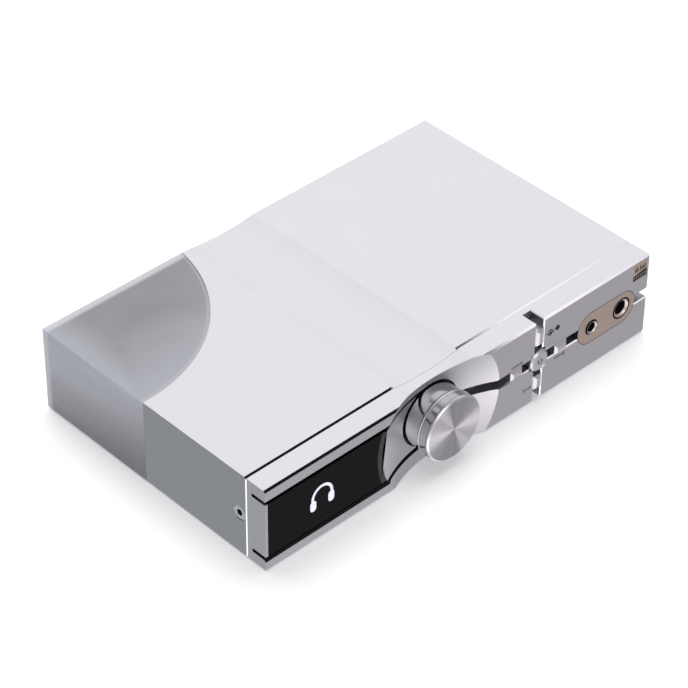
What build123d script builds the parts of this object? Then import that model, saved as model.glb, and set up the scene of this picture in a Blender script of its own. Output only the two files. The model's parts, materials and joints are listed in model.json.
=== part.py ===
from build123d import *
import math
import os

# A desktop headphone amplifier. Everything is drawn in case coordinates, in millimetres:
# x from the left side, y back from the front face, z up from the underside of the case.
# save() moves each piece to the part's own frame: X from the middle of the width, Y from the
# middle of the overall depth, Z up from the plane that the feet stand on.
# Cutters run 1 mm past the faces that they open, and shapes that are joined run into each other.

# Case
CASE_WIDTH = 214.0
CASE_HEIGHT = 40.3
CASE_DEPTH = 131.8
FASCIA_DEPTH = 10.2
SEAM = 0.1
WALL = 2.0
TOP_THICKNESS = 3.0
BASE_THICKNESS = 2.0
FIT = 0.05
OVERLAP = 0.5

# How far pieces stand out of the case
KNOB_PROUD = 6.9
SOCKET_PROUD = 7.3
FOOT_PROUD = 0.8

# Knob, its dish in the fascia and the valley in the top
KNOB_X = 93.8
KNOB_Z = 20.15
KNOB_RADIUS = 14.9
KNOB_REAR = -1.1
KNOB_EDGE = 0.5
NECK_RADIUS = 14.0
SKIRT_RADIUS = 14.3
SKIRT_FRONT = -0.7
SKIRT_END = 7.0
HOLLOW_RADIUS = 11.5
HOLLOW_FRONT = 0.5
HUB_RADIUS = 5.0
HUB_END = 2.4
WELL_RADIUS = 15.2
WELL_FLOOR = 8.6
DISH_SPHERE_RADIUS = 67.0
DISH_CENTRE_Y = -58.65
DISH_RIM_RADIUS = 32.4
VALLEY_X = 94.8
VALLEY_HALF_WIDTH = 17.8
VALLEY_DEPTH = 1.45

# Polished chamfers: along the sleeve's front edge, where they stop short of the valley, and on the fascia
SLEEVE_CHAMFER = 1.3
SLEEVE_SIDE_CHAMFER = 0.65
SLEEVE_CHAMFER_ENDS = (76.8, 111.5)
FASCIA_CHAMFER = 0.9
LOW_CHAMFER_END = 71.4
BLOCK_CHAMFER = 0.45

# Acrylic corner over the aerial: a round of this radius about a point behind the rear left corner
CORNER_X = 2.0
CORNER_Y = 142.2
CORNER_RADIUS = 72.2
CORNER_WALL = 3.0

# Display
WINDOW_LEFT = 1.3
WINDOW_BOTTOM = 6.7
WINDOW_TOP = 33.2
WINDOW_THICKNESS = 2.5
WINDOW_LIP = 0.25
SLOT_DEPTH = 7.5
TOP_SLOT = (33.2, 34.9)
BOTTOM_SLOT = (4.9, 6.7)
DISPLAY_POCKET = (10.5, 53.5, 11.0, 29.0)
DISPLAY_MODULE = (11.0, 53.0, 11.6, 28.4)
DISPLAY_MODULE_THICKNESS = 2.2
RIBBON_THICKNESS = 0.3
RIBBON_REAR = 12.7
RIBBON_END = 70.0
RIBBON_HEIGHTS = (18.0, 24.0)

# Crossed grooves that hold the buttons
GROOVE_WIDTH = 4.4
GROOVE_DEPTH = 7.8
CROSS_X = 148.8
CROSS_Z = 20.2
POWER_RADIUS = 5.0
POWER_PROUD = 1.0
POWER_EDGE = 0.85
POWER_REAR = 7.4
POWER_WELL_RADIUS = 5.08
POWER_WELL_FLOOR = 8.8
POWER_CHAMFER = 1.0
CAP_FRONT = -1.0
CAP_EDGE = 1.0
CAP_REAR = 7.2
# Where each cap begins and ends along its arm: along the width for left and right, in height for up and down
CAP_ENDS = {"left": (132.5, 139.1), "right": (158.2, 165.1), "up": (28.3, 36.1), "down": (5.8, 12.4)}
STEM_END = 12.2
STEM_LONG = 3.6
STEM_SHORT = 2.0
POWER_STEM = 1.5

# Sockets in the front
JACK_Z = 20.15
PLATE_ENDS = (179.9, 198.8)
PLATE_RADIUS = 7.7
PLATE_THICKNESS = 1.0
PLATE_GAP = 0.3
BIG_JACK_X = 198.5
BIG_JACK_BORE = 3.25
BIG_JACK_RING = 4.3
BIG_JACK_BARREL = 5.1
BIG_JACK_RECESS = 0.7
BIG_JACK_MOUTH = (0.0, 0.8)
BIG_JACK_RING_DEPTH = 8.0
BIG_JACK_DEPTH = 34.0
BIG_JACK_BODY = (8.0, 8.2)
SMALL_JACK_X = 180.3
SMALL_JACK_BORE = 2.25
SMALL_JACK_RING = 2.95
SMALL_JACK_BARREL = 3.6
SMALL_JACK_RECESS = 0.4
SMALL_JACK_MOUTH = (-0.5, 0.0)
SMALL_JACK_RING_DEPTH = 6.0
SMALL_JACK_DEPTH = 22.5
SMALL_JACK_BODY = (5.5, 6.0)
JACK_LIP = 0.15
JACK_PIN = (1.0, 0.6)
BADGE = (204.4, 212.7, 30.6, 38.5)
BADGE_THICKNESS = 0.15

# Circuit boards
BOARD_THICKNESS = 1.6
MAIN_BOARD_Z = 5.0
MAIN_BOARD = (9.0, 205.0, 24.0, 126.0)
FRONT_BOARD = (62.0, 171.0)
FRONT_BOARD_HEIGHTS = (4.0, 36.5)
BOARD_SCREW_HEAD = (2.3, 1.6)
FRONT_SCREW_HEAD = (1.9, 1.3)
HEADER = (118.0, 146.0)
HEADER_FRONT_HEIGHTS = (6.0, 10.0)
HEADER_THICKNESS = 2.5
HEADER_REAR = 30.0
HEADER_TOP = 9.2
CAPACITOR_START = (108.0, 58.0)
CAPACITOR_PITCH = 13.0
CAPACITOR_SIZE = (5.0, 16.0)
# Chips as x0, x1, y0, y1, height
CHIPS = (
    (30.0, 44.0, 38.0, 52.0, 1.4),
    (52.0, 62.0, 36.0, 46.0, 1.2),
    (106.0, 116.0, 36.0, 46.0, 1.2),
    (128.0, 138.0, 92.0, 102.0, 1.4),
    (150.0, 156.0, 92.0, 100.0, 1.6),
    (166.0, 171.0, 38.0, 44.0, 1.6),
)
RELAYS = ((168.0, 178.0, 48.0, 64.0, 8.0), (181.0, 191.0, 48.0, 64.0, 8.0))
COIL_XS = (88.0, 100.0, 112.0)
COIL_Y = 96.0
COIL_SIZE = (4.0, 5.5)
WIRELESS_MODULE = (80.0, 98.0, 54.0, 72.0, 2.6)
BOARD_TOP = MAIN_BOARD_Z + BOARD_THICKNESS
FRONT_BOARD_Y = 16.7
SWITCH_FRONT = 12.9
SWITCH_SIZE = 6.0
SWITCH_ROOM = 1.7
PLUNGER_RADIUS = 1.6

# Lead of the aerial: where it passes through the acrylic corner's round wall
AERIAL_THICKNESS = 1.0
AERIAL_BOARD = (84.0, 118.0, 8.0, 32.0)
LEAD_RADIUS = 0.6
LEAD_HEIGHT = 20.0
LEAD_HOLE_RADIUS = 1.5
LEAD_START_Y = 105.0
LEAD_TURN_X = 22.0
LEAD_BEFORE_WALL = 9.0
LEAD_PAST_WALL = 7.0
LEAD_SAG = 0.4
LEAD_LAST_TURN_X = 66.0
LEAD_END_Y = 68.0
LEAD_END_HEIGHT = 1.4
# Share of the shorter neighbouring stretch that each bend takes
LEAD_BEND = 0.45

# Encoder behind the knob
BUSHING_RADIUS = 3.5
BUSHING_FRONT = 3.2
SHAFT_RADIUS = 3.0
SHAFT_FRONT = -3.9
SHAFT_REAR = 13.5
ENCODER_PLUNGER_RADIUS = 2.6
PLUNGER_PROUD = 0.8
PLUNGER_ROOM = 1.6
ENCODER_HALF = 6.0
NUT_RADIUS = 5.5
NUT_HEIGHT = 2.0

# Rear sockets: places along the width and heights above the underside
REAR_PANEL_THICKNESS = 2.0
REAR_FACE = CASE_DEPTH
REAR_INNER = CASE_DEPTH - REAR_PANEL_THICKNESS
XLR_XS = (171.0, 197.0)
XLR_Z = 20.15
XLR_OUTER = 9.6
XLR_INNER = 8.2
XLR_FLOOR_Y = 117.0
XLR_PROUD = 2.0
XLR_INSERT = 4.0
XLR_PIN_ANGLES = (20, 160, 270)
XLR_PIN_CIRCLE = 4.0
XLR_PIN_RADIUS = 1.2
XLR_PIN_SUNK = 3.5
XLR_PIN_TAIL = 8.0
XLR_PIN_EDGE = 0.48
PHONO_PLACES = ((149.0, 13.0), (149.0, 28.0), (132.0, 28.5))
PHONO_RADIUS = 4.15
PHONO_NECK = 3.8
PHONO_BORE = 3.3
PHONO_COLLAR = 5.2
PHONO_COLLAR_PROUD = 0.8
PHONO_FLANGE = 6.0
PHONO_FLANGE_THICKNESS = 3.0
PHONO_TAIL = 10.0
PHONO_BARREL_TAIL = 6.0
PHONO_CONTACT_FLOOR = 5.0
PHONO_CONTACT = 2.4
PHONO_CONTACT_BORE = 1.65
PHONO_CONTACT_SUNK = 1.2
OPTICAL_X = 132.0
OPTICAL_SIZE = (13.0, 13.4)
OPTICAL_HOLE = (9.7, 9.3)
OPTICAL_PROUD = 0.8
OPTICAL_FLOOR = 12.0
OPTICAL_BACK = 5.0
SHUTTER_PIVOT_DROP = 0.9
SHUTTER_PIVOT_SUNK = 1.3
SHUTTER_PIVOT_RADIUS = 0.5
SHUTTER_PIVOT_END = 0.9
SHUTTER_ROLL_RADIUS = 0.7
SHUTTER_THICKNESS = 0.8
SHUTTER_SIDE_GAP = 0.15
SHUTTER_FOOT_GAP = 0.3
USB_X = 110.0
USB_SIZE = (12.2, 11.4)
USB_HOLE = (8.7, 8.0)
USB_FLOOR = 9.5
USB_BACK = 6.0
USB_TONGUE = (5.6, 3.2)
USB_TONGUE_SUNK = 2.2
USB_AND_DC_PROUD = 0.6
DC_X = 91.0
DC_SIZE = (9.0, 10.8)
DC_BORE = 2.85
DC_FLOOR = 9.0
DC_BACK = 4.0
DC_PIN_RADIUS = 1.0
DC_PIN_SUNK = 1.0

# Screws, rails, feet and standoffs
RAIL = 6.0
RAIL_FRONT = 22.2
POST_RADIUS = 3.2
PANEL_RIB = (70.0, 84.0)
PANEL_LEFT = 73.6
STUD_FLOOR = 0.6
BOARD_SCREW_TIP = 0.8
SIDE_SCREW_Y = 14.7
SIDE_SCREW_Z = 20.0
SIDE_SCREW_HEAD = 3.3
SIDE_SCREW_SUNK = 0.15
SIDE_SCREW_RADIUS = 1.25
SIDE_TAB = 4.5
SIDE_TAB_END = 19.7
SIDE_TAB_HALF = 7.0
# Six-sided sockets in the screw heads: radius across the corners and depth
SIDE_SOCKET = (1.5, 1.2)
LARGE_SOCKET = (1.1, 0.9)
SMALL_SOCKET = (0.9, 0.7)
BASE_SCREW_RADIUS = 1.25
BASE_SCREW_HEAD = 2.5
BASE_SCREW_HEAD_HEIGHT = 1.25
BASE_SCREW_TOP = 7.2
REAR_SCREW_RADIUS = 1.0
REAR_SCREW_HEAD = 2.0
REAR_SCREW_HEAD_HEIGHT = 1.0
REAR_SCREW_LENGTH = 3.0
FOOT_RECESS = 0.6
STANDOFF_RADIUS = 2.6
STANDOFF_STUD_RADIUS = 1.2
BASE_SCREW_PLACES = ((5.0, 30.0), (5.0, 60.0), (209.0, 30.0), (209.0, 112.0), (9.0, 122.0), (54.0, 121.0))
CORNER_POSTS = BASE_SCREW_PLACES[4:]
FOOT_PLACES = ((20.0, 22.0), (194.0, 22.0), (20.0, 112.0), (194.0, 118.0))
FOOT_RADIUS = 6.0
STANDOFF_PLACES = ((18.0, 34.0), (18.0, 60.0), (92.0, 36.0), (76.0, 118.0), (160.0, 70.0), (200.0, 60.0))
FASCIA_POST_RADIUS = 3.0
FRONT_SCREW_RADIUS = 1.0
FRONT_SCREW_LENGTH = 4.0
FASCIA_POSTS = ((66.0, 8.0), (66.0, 32.0), (167.0, 8.0), (167.0, 32.0))
REAR_SCREW_PLACES = ((79.5, 8.0), (79.5, 32.0), (209.0, 5.0), (209.0, 34.0))

FRAME_SHIFT = Pos(
    -CASE_WIDTH / 2,
    KNOB_PROUD - (KNOB_PROUD + CASE_DEPTH + SOCKET_PROUD) / 2,
    FOOT_PROUD,
)

pieces = {}


def block(x0, x1, y0, y1, z0, z1):
    """A box between two corners."""
    middle = Pos((x0 + x1) / 2, (y0 + y1) / 2, (z0 + z1) / 2)
    return middle * Box(x1 - x0, y1 - y0, z1 - z0)


def rod_x(y, z, radius, x0, x1):
    """A round bar across the width."""
    return Pos((x0 + x1) / 2, y, z) * Rot(0, 90, 0) * Cylinder(radius, x1 - x0)


def rod_y(x, z, radius, y0, y1):
    """A round bar along the depth."""
    return Pos(x, (y0 + y1) / 2, z) * Rot(90, 0, 0) * Cylinder(radius, y1 - y0)


def rod_z(x, y, radius, z0, z1):
    """A round bar up and down."""
    return Pos(x, y, (z0 + z1) / 2) * Cylinder(radius, z1 - z0)


def cone_y(x, z, front_radius, rear_radius, y0, y1):
    """A round taper along the depth."""
    return Pos(x, (y0 + y1) / 2, z) * Rot(90, 0, 0) * Cone(rear_radius, front_radius, y1 - y0)


def stadium_y(x0, x1, z, radius, y0, y1):
    """A flat bar with round ends, seen from the front."""
    middle = block(x0, x1, y0, y1, z - radius, z + radius)
    return middle + rod_y(x0, z, radius, y0, y1) + rod_y(x1, z, radius, y0, y1)


def tube_y(x, z, outer, inner, y0, y1):
    """A round tube along the depth."""
    return rod_y(x, z, outer, y0, y1) - rod_y(x, z, inner, y0 - 1, y1 + 1)


def save(name, *solids):
    """Keeps one piece, or a group of like pieces, under its name."""
    pieces[name] = [FRAME_SHIFT * solid for solid in solids]


def top_solid(y0, y1):
    """The case's full outline over a stretch of its depth, with the valley along its top."""
    arc_radius = (VALLEY_HALF_WIDTH**2 + VALLEY_DEPTH**2) / (2 * VALLEY_DEPTH)
    valley_z = CASE_HEIGHT - VALLEY_DEPTH + arc_radius
    valley = rod_y(VALLEY_X, valley_z, arc_radius, y0 - 1, y1 + 1)
    return block(0, CASE_WIDTH, y0, y1, 0, CASE_HEIGHT) - valley


def bevel_x(x0, x1, y, z, size):
    """Cutter for a 45 degree chamfer along the width, on a top front edge at y and z."""
    side = size * math.sqrt(2)
    return Pos((x0 + x1) / 2, y, z) * Rot(45, 0, 0) * Box(x1 - x0, side, side)


def bevel_z(x, y, z0, z1, size):
    """Cutter for a 45 degree chamfer up and down, on an upright edge at x and y."""
    side = size * math.sqrt(2)
    return Pos(x, y, (z0 + z1) / 2) * Rot(0, 0, 45) * Box(side, side, z1 - z0)


def bevel_y(x, y0, y1, z, size):
    """Cutter for a 45 degree chamfer along the depth, on an edge at x and z."""
    side = size * math.sqrt(2)
    return Pos(x, (y0 + y1) / 2, z) * Rot(0, 45, 0) * Box(side, y1 - y0, side)


def corner_round(radius, z0, z1):
    """The upright cylinder that bounds the acrylic corner."""
    return rod_z(CORNER_X, CORNER_Y, radius, z0, z1)


def base_screw_head(x, y):
    """The countersunk head of a base screw, flush with the underside."""
    height = BASE_SCREW_HEAD_HEIGHT
    return Pos(x, y, height / 2) * Cone(BASE_SCREW_HEAD, BASE_SCREW_RADIUS, height)


def rear_screw_head(x, z):
    """The countersunk head of a rear screw, flush with the rear face."""
    head_front = REAR_FACE - REAR_SCREW_HEAD_HEIGHT
    return cone_y(x, z, REAR_SCREW_RADIUS, REAR_SCREW_HEAD, head_front, REAR_FACE)


def socket_y(x, y, z, size):
    """Cutter for a six-sided socket that opens towards the rear at y."""
    radius, depth = size
    return Pos(x, y + OVERLAP, z) * extrude(Plane.XZ * RegularPolygon(radius, 6), depth + OVERLAP)


def socket_z(x, y, z, size):
    """Cutter for a six-sided socket that opens upwards at z."""
    radius, depth = size
    return Pos(x, y, z - depth) * extrude(RegularPolygon(radius, 6), depth + OVERLAP)


def lead_wall_point():
    """Where the aerial's lead passes through the middle of the corner's round wall, 45 degrees round it."""
    reach = (CORNER_RADIUS - CORNER_WALL / 2) * math.sqrt(0.5)
    return CORNER_X + reach, CORNER_Y - reach, LEAD_HEIGHT


def make_case():
    """Sleeve, base plate, acrylic corner, rear panel and feet."""
    front = FASCIA_DEPTH + SEAM
    ceiling = CASE_HEIGHT - TOP_THICKNESS
    right_wall = CASE_WIDTH - WALL
    sleeve = top_solid(front, CASE_DEPTH)
    sleeve -= block(WALL, right_wall, front - 1, CASE_DEPTH + 1, -1, ceiling)
    for x0, x1 in ((WALL, WALL + RAIL), (right_wall - RAIL, right_wall)):
        sleeve += block(x0, x1, RAIL_FRONT, REAR_INNER - FIT, BASE_THICKNESS + FIT, BASE_THICKNESS + RAIL)
        sleeve += block(x0, x1, RAIL_FRONT, REAR_INNER - FIT, ceiling - RAIL, ceiling)
    sleeve -= corner_round(CORNER_RADIUS + FIT, -1, CASE_HEIGHT + 1)
    left_end, right_end = SLEEVE_CHAMFER_ENDS
    sleeve -= bevel_x(-1, left_end, front, CASE_HEIGHT, SLEEVE_CHAMFER)
    sleeve -= bevel_x(right_end, CASE_WIDTH + 1, front, CASE_HEIGHT, SLEEVE_CHAMFER)
    for x in (0, CASE_WIDTH):
        sleeve -= bevel_z(x, front, -1, CASE_HEIGHT + 1, SLEEVE_SIDE_CHAMFER)
    for x0, x1 in ((-1, WALL + 1), (right_wall - 1, CASE_WIDTH + 1)):
        sleeve -= rod_x(SIDE_SCREW_Y, SIDE_SCREW_Z, SIDE_SCREW_HEAD + FIT, x0, x1)
    for x, y in BASE_SCREW_PLACES[:4]:
        sleeve -= rod_z(x, y, BASE_SCREW_RADIUS, 0, BASE_SCREW_TOP)
    for x, z in REAR_SCREW_PLACES[2:]:
        sleeve -= rod_y(x, z, REAR_SCREW_RADIUS, REAR_INNER - REAR_SCREW_LENGTH, CASE_DEPTH)
    save("case_sleeve", sleeve)

    corner_inner = CORNER_RADIUS - CORNER_WALL
    corner_box = block(0, CASE_WIDTH / 2, front, CASE_DEPTH, 0, CASE_HEIGHT)
    corner = corner_round(CORNER_RADIUS, 0, CASE_HEIGHT) & corner_box
    pocket_box = block(CORNER_WALL, CASE_WIDTH / 2, front, CASE_DEPTH - CORNER_WALL, -1, ceiling)
    corner -= corner_round(corner_inner, -1, ceiling) & pocket_box
    corner -= block(CORNER_WALL, CASE_WIDTH / 2, front, CASE_DEPTH - CORNER_WALL, -1, BASE_THICKNESS + FIT)
    for x, y in CORNER_POSTS:
        corner += rod_z(x, y, POST_RADIUS, BASE_THICKNESS + FIT, ceiling + 1)
        corner -= rod_z(x, y, BASE_SCREW_RADIUS, 0, BASE_SCREW_TOP)
    rib_front = REAR_INNER - POST_RADIUS
    corner += block(*PANEL_RIB, rib_front, REAR_INNER - FIT, BASE_THICKNESS + 1, ceiling - 1)
    for x, z in REAR_SCREW_PLACES[:2]:
        corner -= rod_y(x, z, REAR_SCREW_RADIUS, REAR_INNER - REAR_SCREW_LENGTH, CASE_DEPTH)
    lead_hole = Rot(0, 0, -45) * Rot(0, 90, 0) * Cylinder(LEAD_HOLE_RADIUS, 4 * CORNER_WALL)
    corner -= Pos(*lead_wall_point()) * lead_hole
    save("acrylic_corner", corner)

    base = block(WALL + FIT, right_wall - FIT, front, CASE_DEPTH, 0, BASE_THICKNESS)
    corner_zone = corner_round(CORNER_RADIUS + FIT, -1, BASE_THICKNESS + 1)
    floor_rear = CASE_DEPTH - CORNER_WALL - FIT
    corner_floor = block(CORNER_WALL + FIT, CASE_WIDTH / 2, front, floor_rear, 0, BASE_THICKNESS)
    base = (base - corner_zone) + (corner_floor & corner_zone)
    for x, y in FOOT_PLACES:
        base -= rod_z(x, y, FOOT_RADIUS + FIT, -1, FOOT_RECESS)
    for x, y in BASE_SCREW_PLACES:
        base -= rod_z(x, y, BASE_SCREW_RADIUS, -1, BASE_THICKNESS + 1)
        base -= base_screw_head(x, y)
    for x, y in STANDOFF_PLACES:
        base -= rod_z(x, y, STANDOFF_STUD_RADIUS, STUD_FLOOR, BASE_THICKNESS + 1)
    save("base_plate", base)

    rear = block(PANEL_LEFT, right_wall - FIT, REAR_INNER, CASE_DEPTH, BASE_THICKNESS + FIT, ceiling - FIT)
    for x in XLR_XS:
        rear -= rod_y(x, XLR_Z, XLR_OUTER + FIT, REAR_INNER - 1, CASE_DEPTH + 1)
    for x, z in PHONO_PLACES:
        rear -= rod_y(x, z, PHONO_COLLAR + FIT, REAR_INNER - 1, CASE_DEPTH + 1)
    for x, (width, height) in ((OPTICAL_X, OPTICAL_SIZE), (USB_X, USB_SIZE), (DC_X, DC_SIZE)):
        half = width / 2 + FIT
        top = BOARD_TOP + height + FIT
        rear -= block(x - half, x + half, REAR_INNER - 1, CASE_DEPTH + 1, BOARD_TOP - FIT, top)
    for x, z in REAR_SCREW_PLACES:
        rear -= rod_y(x, z, REAR_SCREW_RADIUS, REAR_INNER - 1, CASE_DEPTH + 1)
        rear -= rear_screw_head(x, z)
    save("rear_panel", rear)

    feet = [rod_z(x, y, FOOT_RADIUS, -FOOT_PROUD, FOOT_RECESS) for x, y in FOOT_PLACES]
    save("rubber_feet", *feet)


def button_places():
    """Name, cap box (x0, x1, z0, z1) and stem middle of the four buttons in the groove's arms."""
    half = GROOVE_WIDTH / 2 - FIT
    low, high = CROSS_Z - half, CROSS_Z + half
    near, far = CROSS_X - half, CROSS_X + half
    return {
        "left": (*CAP_ENDS["left"], low, high),
        "right": (*CAP_ENDS["right"], low, high),
        "up": (near, far, *CAP_ENDS["up"]),
        "down": (near, far, *CAP_ENDS["down"]),
    }


def stem_box(cap, margin, y0, y1):
    """The flat stem behind a button cap, or with a margin the slot that it runs in."""
    x0, x1, z0, z1 = cap
    x, z = (x0 + x1) / 2, (z0 + z1) / 2
    wide = (x1 - x0) > (z1 - z0)
    half_x = (STEM_LONG if wide else STEM_SHORT) / 2 + margin
    half_z = (STEM_SHORT if wide else STEM_LONG) / 2 + margin
    return block(x - half_x, x + half_x, y0, y1, z - half_z, z + half_z)


def side_tabs():
    """The stretch of the width that each of the fascia's two tapped side tabs takes, left then right."""
    right_wall = CASE_WIDTH - WALL
    return (WALL + FIT, WALL + SIDE_TAB), (right_wall - SIDE_TAB, right_wall - FIT)


def make_fascia():
    """The thick aluminium front, with its dish, slots, grooves and sockets cut in."""
    half = GROOVE_WIDTH / 2
    fascia = top_solid(0, FASCIA_DEPTH)
    fascia -= bevel_x(-1, CASE_WIDTH + 1, 0, CASE_HEIGHT, FASCIA_CHAMFER)
    fascia -= bevel_x(-1, LOW_CHAMFER_END, 0, BOTTOM_SLOT[0], FASCIA_CHAMFER)
    for x in (CROSS_X - half, CROSS_X + half):
        fascia -= bevel_z(x, 0, -1, CASE_HEIGHT + 1, BLOCK_CHAMFER)
        fascia -= bevel_y(x, -1, GROOVE_DEPTH, CASE_HEIGHT, BLOCK_CHAMFER)
    for z in (CROSS_Z - half, CROSS_Z + half):
        fascia -= bevel_x(KNOB_X, CASE_WIDTH + 1, 0, z, BLOCK_CHAMFER)
    fascia -= Pos(KNOB_X, DISH_CENTRE_Y, KNOB_Z) * Sphere(DISH_SPHERE_RADIUS)
    fascia -= rod_y(KNOB_X, KNOB_Z, WELL_RADIUS, -1, WELL_FLOOR)
    fascia -= rod_y(KNOB_X, KNOB_Z, BUSHING_RADIUS + FIT, 0, FASCIA_DEPTH + 1)

    for z0, z1 in (TOP_SLOT, BOTTOM_SLOT):
        fascia -= block(-1, KNOB_X, -1, SLOT_DEPTH, z0, z1)
    fascia -= window_shape(0)
    x0, x1, z0, z1 = DISPLAY_POCKET
    fascia -= block(x0, x1, 0, FASCIA_DEPTH + 1, z0, z1)

    plate_zone = stadium_y(*PLATE_ENDS, JACK_Z, PLATE_RADIUS + PLATE_GAP, -2, GROOVE_DEPTH + 1)
    level_groove = block(KNOB_X, CASE_WIDTH + 1, -1, GROOVE_DEPTH, CROSS_Z - half, CROSS_Z + half)
    fascia -= level_groove - plate_zone
    fascia -= block(CROSS_X - half, CROSS_X + half, -1, GROOVE_DEPTH, -1, CASE_HEIGHT + 1)
    fascia -= rod_y(CROSS_X, CROSS_Z, POWER_WELL_RADIUS, -1, POWER_WELL_FLOOR)
    chamfer_radius = POWER_WELL_RADIUS + POWER_CHAMFER
    fascia -= cone_y(CROSS_X, CROSS_Z, chamfer_radius, POWER_WELL_RADIUS, 0, POWER_CHAMFER)
    fascia -= rod_y(CROSS_X, CROSS_Z, POWER_STEM + FIT, 0, FASCIA_DEPTH + 1)
    for cap in button_places().values():
        fascia -= stem_box(cap, FIT, 0, FASCIA_DEPTH + 1)

    fascia -= stadium_y(*PLATE_ENDS, JACK_Z, PLATE_RADIUS + PLATE_GAP, -1, PLATE_THICKNESS)
    fascia -= rod_y(BIG_JACK_X, JACK_Z, BIG_JACK_BARREL + FIT, -1, FASCIA_DEPTH + 1)
    fascia -= rod_y(SMALL_JACK_X, JACK_Z, SMALL_JACK_BARREL + FIT, -1, FASCIA_DEPTH + 1)

    for x, z in FASCIA_POSTS:
        fascia += rod_y(x, z, FASCIA_POST_RADIUS, FASCIA_DEPTH - 1, FRONT_BOARD_Y)
        fascia -= rod_y(x, z, FRONT_SCREW_RADIUS, FRONT_BOARD_Y - FRONT_SCREW_LENGTH - 1, FRONT_BOARD_Y + 1)
    tab = (FASCIA_DEPTH - 1, SIDE_TAB_END, SIDE_SCREW_Z - SIDE_TAB_HALF, SIDE_SCREW_Z + SIDE_TAB_HALF)
    for x0, x1 in side_tabs():
        fascia += block(x0, x1, *tab)
        fascia -= rod_x(SIDE_SCREW_Y, SIDE_SCREW_Z, SIDE_SCREW_RADIUS, x0 - 1, x1 + 1)
    save("front_fascia", fascia)


def window_shape(gap):
    """The black window's slab: straight at its left end, round the dish at its right end."""
    slab = block(
        WINDOW_LEFT + gap, KNOB_X, -1 if gap == 0 else 0, WINDOW_THICKNESS, WINDOW_BOTTOM, WINDOW_TOP
    )
    return slab - rod_y(KNOB_X, KNOB_Z, DISH_RIM_RADIUS + WINDOW_LIP + gap, -2, WINDOW_THICKNESS + 1)


def make_display():
    """Window, display module and the flat ribbon that runs behind the fascia to the front board."""
    save("display_window", window_shape(FIT))
    x0, x1, z0, z1 = DISPLAY_MODULE
    back = WINDOW_THICKNESS + DISPLAY_MODULE_THICKNESS
    save("oled_module", block(x0, x1, WINDOW_THICKNESS, back, z0, z1))
    run_front = RIBBON_REAR - RIBBON_THICKNESS
    ribbon = block(x1 - RIBBON_THICKNESS, x1, back, RIBBON_REAR, *RIBBON_HEIGHTS)
    ribbon += block(x1 - RIBBON_THICKNESS, RIBBON_END, run_front, RIBBON_REAR, *RIBBON_HEIGHTS)
    ribbon += block(RIBBON_END - RIBBON_THICKNESS, RIBBON_END, run_front, FRONT_BOARD_Y, *RIBBON_HEIGHTS)
    save("display_ribbon", ribbon)


def make_knob():
    """Knob, encoder shaft, its push plunger, the encoder itself and its nut."""
    face = -KNOB_PROUD
    knob = rod_y(KNOB_X, KNOB_Z, KNOB_RADIUS, face, KNOB_REAR)
    knob = chamfer(knob.edges().sort_by(Axis.Y)[0], KNOB_EDGE)
    knob += rod_y(KNOB_X, KNOB_Z, NECK_RADIUS, KNOB_REAR - 1, SKIRT_FRONT + 1)
    knob += rod_y(KNOB_X, KNOB_Z, SKIRT_RADIUS, SKIRT_FRONT, SKIRT_END)
    knob -= rod_y(KNOB_X, KNOB_Z, HOLLOW_RADIUS, HOLLOW_FRONT, SKIRT_END + 1)
    knob += rod_y(KNOB_X, KNOB_Z, HUB_RADIUS, HOLLOW_FRONT - 1, HUB_END)
    knob -= rod_y(KNOB_X, KNOB_Z, SHAFT_RADIUS, SHAFT_FRONT, SKIRT_END)
    save("volume_knob", knob)

    shaft = rod_y(KNOB_X, KNOB_Z, SHAFT_RADIUS, SHAFT_FRONT, SHAFT_REAR)
    save("encoder_shaft", shaft)
    plunger = rod_y(KNOB_X, KNOB_Z, ENCODER_PLUNGER_RADIUS, SHAFT_REAR, SHAFT_REAR + PLUNGER_PROUD)
    save("encoder_plunger", plunger)

    half = ENCODER_HALF
    body = block(KNOB_X - half, KNOB_X + half, FASCIA_DEPTH, FRONT_BOARD_Y, KNOB_Z - half, KNOB_Z + half)
    body += rod_y(KNOB_X, KNOB_Z, BUSHING_RADIUS, BUSHING_FRONT, FASCIA_DEPTH + 1)
    body -= rod_y(KNOB_X, KNOB_Z, SHAFT_RADIUS + FIT, BUSHING_FRONT - 1, SHAFT_REAR + PLUNGER_ROOM)
    save("encoder_body", body)

    hexagon = Plane.XZ * RegularPolygon(NUT_RADIUS, 6)
    nut = Pos(KNOB_X, WELL_FLOOR, KNOB_Z) * extrude(hexagon, NUT_HEIGHT)
    nut -= rod_y(KNOB_X, KNOB_Z, BUSHING_RADIUS, 0, FASCIA_DEPTH)
    save("encoder_nut", nut)


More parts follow.
